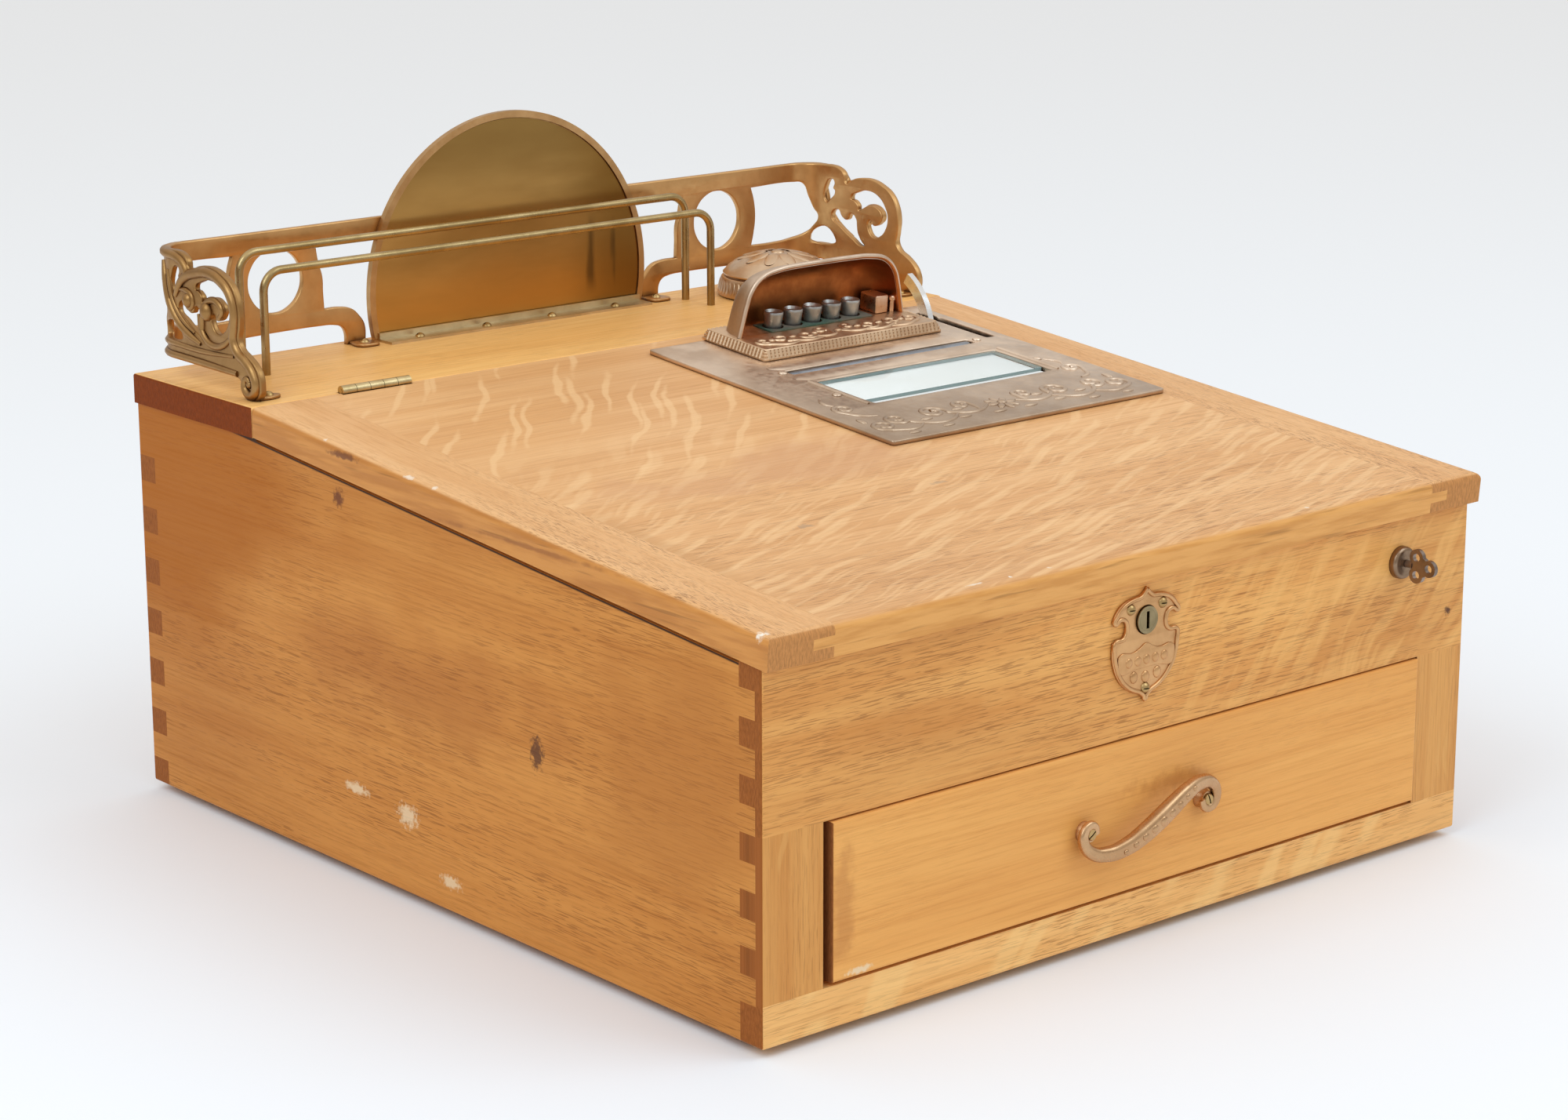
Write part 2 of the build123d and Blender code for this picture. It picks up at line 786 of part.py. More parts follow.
# Register plate on the lid, with its window, ticket slot, lever slot and key holes
key_xs = [register_x + (k - (key_count - 1) / 2) * key_pitch for k in range(key_count)]
plate_end = plate_start + plate_length
window_end = window_start + window_length
lever_lean = atan((roll_axis_s - lever_base_s) / roll_axis_drop)
lever_far = radians(lever_swing) - lever_lean
lever_neck = roll_axis_drop + plate_thickness
slot_start = roll_axis_s - lever_neck * tan(lever_lean) - lever_width / 2 / cos(lever_lean) - slot_end_gap
slot_end = roll_axis_s + lever_neck * tan(lever_far) + lever_width / 2 / cos(lever_far) + slot_end_gap
with BuildPart(lid_plane) as register_plate:
    with BuildSketch(lid_plane):
        with Locations((plate_x, -(plate_start + plate_end) / 2)):
            RectangleRounded(plate_width, plate_length, plate_corner)
    extrude(amount=plate_thickness)
    block(
        register_x - window_width / 2, register_x + window_width / 2, -window_end, -window_start,
        -1, 2 * plate_thickness, mode=Mode.SUBTRACT,
    )
    block(
        register_x - ticket_slot_width / 2, register_x + ticket_slot_width / 2,
        -ticket_slot_start - ticket_slot_length, -ticket_slot_start, -1, 2 * plate_thickness,
        mode=Mode.SUBTRACT,
    )
    block(
        lever_left - slot_side_gap, lever_right + slot_side_gap, -slot_end, -slot_start,
        -1, 2 * plate_thickness, mode=Mode.SUBTRACT,
    )
    for x in key_xs:
        with Locations((x, -key_row, 0)):
            Cylinder(key_radius + key_gap, 4 * plate_thickness, mode=Mode.SUBTRACT)
pieces["register_plate"] = register_plate

# Key plinth with flared sides
plinth_top = plate_thickness + plinth_height
plinth_mid = -(plinth_start + plinth_length / 2)
with BuildPart(lid_plane) as key_plinth:
    with BuildSketch(lid_plane.offset(plate_thickness)):
        with Locations((register_x, plinth_mid)):
            Rectangle(plinth_width, plinth_length)
    with BuildSketch(lid_plane.offset(plinth_top)):
        with Locations((register_x, plinth_mid)):
            Rectangle(plinth_width - 2 * plinth_flare, plinth_length - 2 * plinth_flare)
    loft()
    for x in key_xs:
        with Locations((x, -key_row, plinth_top)):
            Cylinder(key_radius + key_gap, 4 * plinth_top, mode=Mode.SUBTRACT)
pieces["key_plinth"] = key_plinth


def hood_outline(plane, inset, draw, fall):
    """The hood's arch: leaning cheeks and rounded shoulders over the plinth."""
    half = hood_width / 2 - inset - draw
    crown = plinth_top + hood_height - inset - fall
    with BuildSketch(plane) as outline:
        with BuildLine():
            Polyline(
                (register_x - half, plinth_top),
                (register_x + half, plinth_top),
                (register_x + half - hood_lean, crown),
                (register_x - half + hood_lean, crown),
                close=True,
            )
        make_face()
        fillet(outline.vertices().group_by(Axis.Y)[-1], hood_corner - inset)
    return outline.sketch


# Key hood, open to the front and falling away to a smaller back
hood_end = hood_start + hood_depth
with BuildPart() as key_hood:
    loft([
        hood_outline(lid_section(hood_start), 0, hood_back_draw, hood_back_fall),
        hood_outline(lid_section(hood_end), 0, 0, 0),
    ])
    loft([
        hood_outline(lid_section(hood_start + hood_wall), hood_wall, hood_back_draw, hood_back_fall),
        hood_outline(lid_section(hood_end), hood_wall, 0, 0),
    ], mode=Mode.SUBTRACT)
pieces["key_hood"] = key_hood

# Finger keys sliding in the plinth
for number, x in enumerate(key_xs, start=1):
    with BuildPart(lid_plane) as finger_key:
        cap_low = plinth_top - key_skirt
        cap_high = plinth_top + key_height
        with Locations((x, -key_row, (cap_low + cap_high) / 2)):
            Cylinder(key_radius, cap_high - cap_low)
        fillet(finger_key.faces().sort_by(lid_normal)[-1].edges(), key_round)
        with Locations((x, -key_row, cap_low - key_stem_length / 2)):
            Cylinder(key_stem_radius, key_stem_length)
    pieces[f"key_{number}"] = finger_key

# Window glass under the plate, writing platen and the paper drawn over it
paper_level = -(glass_thickness + paper_drop)
glass_left = register_x - window_width / 2 - glass_overlap
glass_right = register_x + window_width / 2 + glass_overlap
with BuildPart(lid_plane) as window_glass:
    block(
        glass_left, glass_right, -window_start - glass_length, -window_start + glass_overlap,
        -glass_thickness, 0,
    )
pieces["window_glass"] = window_glass

platen_start = window_start - platen_margin
platen_end = window_end + platen_margin
platen_low = paper_level - paper_thickness - platen_thickness
with BuildPart(lid_plane) as writing_platen:
    block(
        frame_left + frame_wall, frame_right, -platen_end, -platen_start,
        platen_low, paper_level - paper_thickness,
    )
pieces["writing_platen"] = writing_platen

roll_left = frame_left + frame_wall + roll_end_gap
roll_right = frame_right - roll_end_gap
paper_mid = paper_level - paper_thickness / 2
with BuildPart() as paper_strip:
    with BuildSketch(lid_side(roll_left + paper_margin)):
        with BuildLine():
            Polyline(
                (roll_axis_s + takeup_radius + paper_thickness, -roll_axis_drop),
                (platen_start - paper_bend, paper_mid),
                (platen_end + paper_bend, paper_mid),
                (supply_s + supply_radius + paper_thickness, -supply_drop),
            )
        trace(line_width=paper_thickness)
    extrude(amount=-(roll_right - roll_left - 2 * paper_margin))
pieces["paper_strip"] = paper_strip

# Mechanism frame under the lid: two flanged side plates and two tie rods
frame_end = frame_start + frame_length
frame_top = -lid_thickness
frame_low = frame_top - frame_depth
with BuildPart(lid_plane) as mechanism_frame:
    for x0 in (frame_left, frame_right):
        x1 = x0 + frame_wall
        block(x0, x1, -frame_end, -frame_start, frame_low, 0)
        for axis_s, drop in ((roll_axis_s, roll_axis_drop), (supply_s, supply_drop)):
            rod(x0 - 1, x1 + 1, -axis_s, -drop, shaft_radius + running_gap, mode=Mode.SUBTRACT)
    for s in (frame_start + 3 * tie_rod_radius, frame_end - 3 * tie_rod_radius):
        rod(frame_left, frame_right + frame_wall, -s, frame_low + 2 * tie_rod_radius, tie_rod_radius)
pieces["mechanism_frame"] = mechanism_frame

# Paper rolls on their shafts: the take-up shaft runs on through the frame to carry the lever
for name, axis_s, drop, radius, reach in (
    ("takeup_roll", roll_axis_s, roll_axis_drop, takeup_radius, lever_right),
    ("supply_roll", supply_s, supply_drop, supply_radius, frame_right + frame_wall),
):
    with BuildPart(lid_plane) as roll:
        rod(roll_left, roll_right, -axis_s, -drop, radius)
        rod(frame_left, reach, -axis_s, -drop, shaft_radius)
    pieces[name] = roll

# Thumb lever on the take-up shaft, rising through its slot and curling back
with BuildPart() as feed_lever:
    with BuildSketch(lid_side(lever_right)):
        with BuildLine():
            lever_arm = Line(
                (roll_axis_s, -roll_axis_drop),
                (roll_axis_s - lever_neck * tan(lever_lean), plate_thickness),
            )
            TangentArc(lever_arm @ 1, (lever_top_s, lever_top_h), tangent=lever_arm % 1)
        trace(line_width=lever_width)
        with Locations((roll_axis_s, -roll_axis_drop)):
            Circle(lever_hub_radius)
            Circle(shaft_radius + running_gap, mode=Mode.SUBTRACT)
    extrude(amount=lever_thickness)
pieces["feed_lever"] = feed_lever

# Lid lock in the upper rail: fixed barrel, turning plug with a cam, and the keeper it hooks under
cam_y0 = inside_front + lid_cam_gap
cam_y1 = cam_y0 + cam_thickness
with BuildPart() as lid_lock_barrel:
    with Locations((0, (front - lock_proud + inside_front) / 2, lock_z)):
        Cylinder(lock_barrel_radius, board + lock_proud, rotation=(90, 0, 0))
        Cylinder(lock_plug_radius + running_gap, 4 * board, rotation=(90, 0, 0), mode=Mode.SUBTRACT)
pieces["lid_lock_barrel"] = lid_lock_barrel

with BuildPart() as lid_lock_plug:
    with Locations((0, (front - lock_proud + cam_y1) / 2, lock_z)):
        Cylinder(lock_plug_radius, cam_y1 - front + lock_proud, rotation=(90, 0, 0))
    block(-cam_width / 2, cam_width / 2, cam_y0, cam_y1, lock_z, lock_z + cam_length)
    block(
        -keyway_width / 2, keyway_width / 2, front - lock_proud, front - lock_proud + keyway_depth,
        lock_z - keyway_height / 2, lock_z + keyway_height / 2, mode=Mode.SUBTRACT,
    )
pieces["lid_lock_plug"] = lid_lock_plug

keeper_y = cam_y1 + cam_gap
keeper_ledge = lock_z - cam_width / 2 - cam_gap
with BuildPart() as lid_lock_keeper:
    block(
        keeper_start, keeper_start + keeper_width, keeper_y, keeper_y + keeper_wall,
        keeper_ledge - keeper_wall, base + back_height,
    )
    block(
        keeper_start, keeper_start + keeper_width, cam_y0, keeper_y + keeper_wall,
        keeper_ledge - keeper_wall, keeper_ledge,
    )
    with BuildSketch(lid_plane.offset(-lid_thickness)):
        with Locations((0, -lid_length)):
            Rectangle(case_width, lid_length)
    extrude(amount=lid_length, mode=Mode.SUBTRACT)
pieces["lid_lock_keeper"] = lid_lock_keeper

# Shield escutcheon around the lid lock
with BuildPart() as escutcheon:
    shield_top = front_top - shield_top_gap
    shield_height = shield_top - drawer_ceiling - shield_bottom_gap
    shield_half = shield_width / 2
    shield_plane = Plane(origin=(0, front, shield_top), x_dir=(-1, 0, 0), z_dir=(0, 1, 0))

    def on_shield(across, down):
        """A point at a share of the half width and of the height below the tip."""
        return (across * shield_half, -down * shield_height)

    with BuildSketch(shield_plane):
        with BuildLine():
            ThreePointArc(on_shield(0, 0), on_shield(0.2, 0.066), on_shield(0.57, 0.09))
            ThreePointArc(on_shield(0.57, 0.09), on_shield(0.86, 0.156), on_shield(1, 0.254))
            Polyline(
                on_shield(1, 0.254),
                on_shield(0.69, 0.238),
                on_shield(0.61, 0.328),
                on_shield(0.69, 0.4),
                on_shield(0.98, 0.426),
            )
            ThreePointArc(on_shield(0.98, 0.426), on_shield(0.78, 0.762), on_shield(0.16, 0.926))
            Line(on_shield(0.16, 0.926), on_shield(0, 1))
            mirror(about=Plane.YZ)
        make_face()
        with Locations((0, lock_z - shield_top)):
            Circle(lock_barrel_radius, mode=Mode.SUBTRACT)
    extrude(amount=-escutcheon_thickness)
pieces["escutcheon"] = escutcheon

# Drawer lock: collared barrel, plug with a long tongue, and the key left in it
tongue_y0 = inside_front + cam_gap
tongue_y1 = tongue_y0 + cam_thickness
collar_face = front - collar_height
with BuildPart() as drawer_lock_barrel:
    with Locations((drawer_lock_x, (front + inside_front) / 2, tongue_z)):
        Cylinder(lock_barrel_radius, board, rotation=(90, 0, 0))
    with Locations((drawer_lock_x, (front + collar_face) / 2, tongue_z)):
        Cylinder(collar_radius, collar_height, rotation=(90, 0, 0))
    fillet(drawer_lock_barrel.faces().sort_by(Axis.Y)[0].edges(), collar_height / 2)
    with Locations((drawer_lock_x, front, tongue_z)):
        Cylinder(drawer_plug_radius + running_gap, 4 * board, rotation=(90, 0, 0), mode=Mode.SUBTRACT)
pieces["drawer_lock_barrel"] = drawer_lock_barrel

with BuildPart() as drawer_lock_plug:
    with Locations((drawer_lock_x, (collar_face + tongue_y1) / 2, tongue_z)):
        Cylinder(drawer_plug_radius, tongue_y1 - collar_face, rotation=(90, 0, 0))
    tongue_reach = tongue_z - drawer_ceiling + drawer_top_gap + tongue_catch
    block(
        drawer_lock_x - tongue_reach, drawer_lock_x, tongue_y0, tongue_y1,
        tongue_z - tongue_width / 2, tongue_z + tongue_width / 2,
    )
pieces["drawer_lock_plug"] = drawer_lock_plug

with BuildPart() as drawer_key:
    shank_end = collar_face - key_shank_length
    with Locations((drawer_lock_x, (collar_face + shank_end) / 2, tongue_z)):
        Cylinder(key_shank_radius, key_shank_length, rotation=(90, 0, 0))
    bow_plane = Plane(origin=(drawer_lock_x - bow_thickness / 2, 0, 0), x_dir=(0, 1, 0), z_dir=(1, 0, 0))
    bow_mid = (shank_end - bow_ring_offset, tongue_z)
    with BuildSketch(bow_plane):
        with Locations(bow_mid):
            Circle(bow_ring_offset)
            with PolarLocations(bow_ring_offset, 3, start_angle=60):
                Circle(bow_ring_radius)
            with PolarLocations(bow_ring_offset, 3, start_angle=60):
                Circle(bow_hole_radius, mode=Mode.SUBTRACT)
    extrude(amount=bow_thickness)
pieces["drawer_key"] = drawer_key

# Drawer, running between the guides on the runners
drawer_left = opening_left + drawer_gap
drawer_right = opening_right - drawer_gap
drawer_low = drawer_floor + drawer_run_gap
drawer_face = front - drawer_proud
drawer_front_back = drawer_face + drawer_front_thickness
drawer_end = inside_back - drawer_back_clearance
side_top = drawer_low + drawer_side_height
well_floor = drawer_low + drawer_bottom_lift + drawer_bottom_thickness
drawer_inside_left = drawer_left + drawer_side
drawer_inside_right = drawer_right - drawer_side
drawer_inside_back = drawer_end - drawer_side
drawer_front_left = opening_left + drawer_front_gap
drawer_front_right = opening_right - drawer_right_gap
drawer_front_low = drawer_floor + drawer_foot_gap
drawer_front_top = drawer_ceiling - drawer_top_gap
with BuildPart() as drawer_front:
    block(
        drawer_front_left, drawer_front_right, drawer_face, drawer_front_back,
        drawer_front_low, drawer_front_top,
    )
    fillet(drawer_front.faces().sort_by(Axis.Y)[0].edges(), drawer_front_round)
pieces["drawer_front"] = drawer_front

with BuildPart() as drawer_sides:
    block(drawer_left, drawer_inside_left, drawer_front_back, drawer_end, drawer_low, side_top)
    block(drawer_inside_right, drawer_right, drawer_front_back, drawer_end, drawer_low, side_top)
pieces["drawer_sides"] = drawer_sides

with BuildPart() as drawer_back:
    block(drawer_inside_left, drawer_inside_right, drawer_inside_back, drawer_end, drawer_low, side_top)
pieces["drawer_back"] = drawer_back

with BuildPart() as drawer_bottom:
    block(
        drawer_inside_left, drawer_inside_right, drawer_front_back, drawer_inside_back,
        drawer_low + drawer_bottom_lift, well_floor,
    )
pieces["drawer_bottom"] = drawer_bottom

# Till dividers: a cross wall with coin bins before it and note bins behind it
cross_y = drawer_front_back + coin_row_depth
divider_top = well_floor + divider_height
inside_width = drawer_inside_right - drawer_inside_left
with BuildPart() as till_dividers:
    block(drawer_inside_left, drawer_inside_right, cross_y, cross_y + divider, well_floor, divider_top)
    for bins, y0, y1 in (
        (coin_bins, drawer_front_back, cross_y - divider_gap),
        (note_bins, cross_y + divider + divider_gap, drawer_inside_back),
    ):
        for k in range(1, bins):
            x = drawer_inside_left + k * inside_width / bins
            block(x - divider / 2, x + divider / 2, y0, y1, well_floor, divider_top)
pieces["till_dividers"] = till_dividers

# Keeper on the drawer that the tongue drops in front of
keeper_back = tongue_y1 + cam_gap
with BuildPart() as drawer_lock_keeper:
    keeper_x0 = drawer_lock_x - drawer_keeper_width / 2
    keeper_x1 = drawer_lock_x + drawer_keeper_width / 2
    keeper_top = drawer_ceiling - drawer_top_gap
    keeper_low = keeper_top - drawer_keeper_height
    block(
        keeper_x0, keeper_x1, drawer_front_back, keeper_back + keeper_wall,
        keeper_low, keeper_low + keeper_wall,
    )
    block(keeper_x0, keeper_x1, keeper_back, keeper_back + keeper_wall, keeper_low, keeper_top)
pieces["drawer_lock_keeper"] = drawer_lock_keeper

# S-shaped pull on two eyes, with its screws
pull_z = base + pull_height
eye_depth = pull_standoff + pull_bar_thickness
bar_plane = Plane(origin=(0, drawer_face - pull_standoff, pull_z), x_dir=(1, 0, 0), z_dir=(0, -1, 0))
half = pull_spacing / 2
with BuildPart() as drawer_pull:
    with BuildSketch(bar_plane):
        with BuildLine():
            Spline(
                (-half, 0),
                (-half + pull_hook, -pull_rise),
                (0, 0),
                (half - pull_hook, pull_rise),
                (half, 0),
                tangents=[(-0.4, -1), (-0.4, -1)],
            )
        trace(line_width=pull_bar_width)
    extrude(amount=pull_bar_thickness)
    for x in (-half, half):
        with Locations((x, drawer_face - eye_depth / 2, pull_z)):
            Cylinder(pull_eye_radius, eye_depth, rotation=(90, 0, 0))
pieces["drawer_pull"] = drawer_pull

with BuildPart() as pull_screws:
    for x in (-half, half):
        with Locations((x, drawer_face - eye_depth - pull_screw_height / 2, pull_z)):
            Cylinder(pull_screw_radius, pull_screw_height, rotation=(90, 0, 0))
        block(
            x - pull_screw_radius, x + pull_screw_radius,
            drawer_face - eye_depth - pull_screw_height, drawer_face - eye_depth - pull_screw_height / 2,
            pull_z - screw_slot / 2, pull_z + screw_slot / 2, mode=Mode.SUBTRACT,
        )
pieces["pull_screws"] = pull_screws

# Round-head brass screws of the gallery, the sign strip and the escutcheon
tab_top = top_level + tab_thickness
strip_top = top_level + strip_thickness
strip_pitch = strip_length / strip_screws
head_radius = (screw_head_radius**2 + screw_head_height**2) / (2 * screw_head_height)
with BuildPart() as screw_head:
    with Locations((0, 0, screw_head_height - head_radius)):
        Sphere(head_radius)
    block(
        -2 * head_radius, 2 * head_radius, -2 * head_radius, 2 * head_radius,
        0, 2 * head_radius, mode=Mode.INTERSECT,
    )
    block(
        -screw_head_radius, screw_head_radius, -screw_slot / 2, screw_slot / 2,
        screw_head_height / 2, 2 * screw_head_height, mode=Mode.SUBTRACT,
    )
with BuildPart() as brass_screws:
    for turn in (-1, 1):
        tab_x, tab_y = turn * (inner_tab + tab_width / 2), rail_y - (tab_reach + gallery_wall / 2) / 2
        with Locations((tab_x, tab_y, tab_top)):
            add(screw_head.part)
        with Locations((turn * (bracket_x + (tab_reach + gallery_wall / 2) / 2), toe_y, tab_top)):
            add(screw_head.part)
    for k in range(strip_screws):
        strip_x = (k + 0.5) * strip_pitch - strip_length / 2
        with Locations((strip_x, strip_back - (strip_depth + strip_thickness) / 2, strip_top)):
            add(screw_head.part)
    for across, down in ((-0.47, 0.172), (0.47, 0.172), (0, 0.877)):
        place = shield_plane.from_local_coords(Vector(*on_shield(across, down), -escutcheon_thickness))
        with Locations(Location(place, (90, 0, 0))):
            add(screw_head.part)
pieces["brass_screws"] = brass_screws

os.makedirs("parts", exist_ok=True)
for name, piece in pieces.items():
    piece.part.label = name
    export_step(piece.part, f"parts/{name}.step")
print(len(pieces), "pieces written, lid slope", round(degrees(slope), 2), "degrees")
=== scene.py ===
"""Looks of a counter-top oak till with a sloping writing lid, cash drawer, finger keys, bell and brass gallery."""

import math

import bpy
from mathutils import Matrix, Vector


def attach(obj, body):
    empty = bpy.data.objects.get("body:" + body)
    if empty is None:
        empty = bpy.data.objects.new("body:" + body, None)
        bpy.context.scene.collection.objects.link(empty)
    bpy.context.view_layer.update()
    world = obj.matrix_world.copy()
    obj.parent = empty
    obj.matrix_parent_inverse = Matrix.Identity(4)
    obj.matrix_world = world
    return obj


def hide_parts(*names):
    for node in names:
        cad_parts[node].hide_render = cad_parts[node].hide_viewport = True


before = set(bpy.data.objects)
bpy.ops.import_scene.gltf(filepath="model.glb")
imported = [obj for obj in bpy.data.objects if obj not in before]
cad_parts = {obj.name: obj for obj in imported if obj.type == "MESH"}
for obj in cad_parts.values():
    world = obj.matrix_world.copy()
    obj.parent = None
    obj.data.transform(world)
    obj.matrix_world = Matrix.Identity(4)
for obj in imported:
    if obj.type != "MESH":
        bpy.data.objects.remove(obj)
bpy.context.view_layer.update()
bpy.ops.object.select_all(action="DESELECT")

# Camera of the photograph: a short telephoto, to the left of the front corner and a little above the lid.
# Its place and turn come from fitting the case's own corners.
camera_data = bpy.data.cameras.new("camera")
camera_data.sensor_width = 36.0
camera_data.lens = 84.44
camera_data.clip_start = 0.05
camera = bpy.data.objects.new("camera", camera_data)
bpy.context.collection.objects.link(camera)
heading = math.radians(40.52)
drop = math.radians(14.61)
roll = math.radians(-0.084)
sight = Vector((math.sin(heading) * math.cos(drop), math.cos(heading) * math.cos(drop), -math.sin(drop)))
level_right = sight.cross(Vector((0, 0, 1))).normalized()
level_up = level_right.cross(sight)
right_hand = math.cos(roll) * level_right + math.sin(roll) * level_up
up_hand = -math.sin(roll) * level_right + math.cos(roll) * level_up
turned_to = Matrix((right_hand, up_hand, -sight)).transposed().to_4x4()
camera_place = (-1.30594, -1.50972, 0.67133)
camera.matrix_world = Matrix.Translation(camera_place) @ turned_to
bpy.context.scene.camera = camera
bpy.context.scene.view_settings.view_transform = "Standard"


# Plain pale sweep of studio paper under an even overhead light that falls off towards the horizon,
# with a broad soft lamp to the right of the front and another to the left of the side.
def put(tree, kind, values=None, **settings):
    step = tree.nodes.new("ShaderNode" + kind)
    for key, value in settings.items():
        setattr(step, key, value)
    for key, value in (values or {}).items():
        socket = step.inputs[key]
        if isinstance(value, bpy.types.NodeSocket):
            tree.links.new(value, socket)
        else:
            socket.default_value = (*value, 1) if socket.type == "RGBA" else value
    return step


world = bpy.data.worlds.new("studio")
bpy.context.scene.world = world
world.use_nodes = True
sky = world.node_tree
sky_level = put(sky, "SeparateXYZ", {"Vector": put(sky, "TexCoord").outputs["Generated"]}).outputs["Z"]
sky_range = {"Value": sky_level, "From Min": 0.0, "From Max": 0.9, "To Min": 0.49, "To Max": 0.99}
sky_glow = put(sky, "MapRange", sky_range)
sky.links.new(sky_glow.outputs[0], sky.nodes["Background"].inputs["Strength"])
sky.nodes["Background"].inputs["Color"].default_value = (1.0, 0.985, 0.965, 1)
lamp_aim = Vector((0, 0, 0.15))
for lamp_name, spot, size, power in (
    ("key_light", (1.3, -2.0, 2.9), 2.2, 27.0),
    ("edge_light", (-2.3, -0.5, 2.3), 1.8, 26.0),
):
    lamp_data = bpy.data.lights.new(lamp_name, "AREA")
    lamp_data.size = size
    lamp_data.energy = power
    lamp_data.color = (0.72, 0.90, 1.08)
    lamp = bpy.data.objects.new(lamp_name, lamp_data)
    lamp.location = spot
    lamp.rotation_euler = (lamp_aim - Vector(spot)).to_track_quat("-Z", "Y").to_euler()
    bpy.context.collection.objects.link(lamp)
bpy.ops.mesh.primitive_plane_add(size=40, location=(0, 0, 0))
floor = bpy.context.active_object
floor.name = "floor"
paper_white = bpy.data.materials.new("studio_paper")
paper_white.use_nodes = True
paper_shader = paper_white.node_tree.nodes["Principled BSDF"].inputs
paper_shader["Base Color"].default_value = (0.895, 0.908, 0.922, 1.0)
paper_shader["Roughness"].default_value = 0.75
paper_shader["Specular IOR Level"].default_value = 0.15
floor.data.materials.append(paper_white)


# Case sides and back: thick oak boards with the grain running level, finger-jointed at the corners and
# rubbed with a dark orange varnish. The fingers' end grain soaks up more of it and shows brown, and a dark line
# of painted shade runs along the sides' faces where they come up under the lid, standing in for the gap's shadow.
def calc(tree, operation, first, second=0.0, third=0.0):
    return put(tree, "Math", {0: first, 1: second, 2: third}, operation=operation).outputs[0]


def ease(tree, value, low, high, start=0.0, end=1.0):
    values = {"Value": value, "From Min": low, "From Max": high, "To Min": start, "To Max": end}
    return put(tree, "MapRange", values, interpolation_type="SMOOTHSTEP").outputs[0]


def tint(tree, share, under, over, mode="MIX"):
    return put(tree, "Mix", {0: share, 6: under, 7: over}, data_type="RGBA", blend_type=mode).outputs[2]


def times(tree, first, second):
    return calc(tree, "MULTIPLY", first, second)


def dot(tree, vector, direction):
    return put(tree, "VectorMath", {0: vector, 1: direction}, operation="DOT_PRODUCT").outputs["Value"]


def roughen(tree, shader, height, strength, depth):
    bump = put(tree, "Bump", {"Height": height, "Strength": strength, "Distance": depth})
    tree.links.new(bump.outputs[0], shader.inputs["Normal"])


def grain_noise(tree, vector, scale, stretch=(1, 1, 1), detail=2.0, shift=0.0, roughness=0.5):
    moved = {"Vector": vector, "Location": (shift, shift * 1.7, shift * 0.6), "Scale": stretch}
    stretched = put(tree, "Mapping", moved).outputs[0]
    values = {"Vector": stretched, "Scale": scale, "Detail": detail, "Roughness": roughness}
    return put(tree, "TexNoise", values).outputs[0]


def new_finish(name):
    material = bpy.data.materials.new(name)
    material.use_nodes = True
    return material, material.node_tree, material.node_tree.nodes["Principled BSDF"]


def spot_mask(tree, place, centre, radii, grit, shift):
    offset = put(tree, "VectorMath", {0: place, 1: centre}, operation="SUBTRACT").outputs[0]
    scaled = put(tree, "VectorMath", {0: offset, 1: radii}, operation="DIVIDE").outputs[0]
    far = put(tree, "VectorMath", {0: scaled}, operation="LENGTH").outputs["Value"]
    speck = grain_noise(tree, place, grit, (1, 1, 1), 3.0, shift, 0.6)
    return ease(tree, calc(tree, "MULTIPLY_ADD", speck, 1.5, far), 1.55, 1.0)


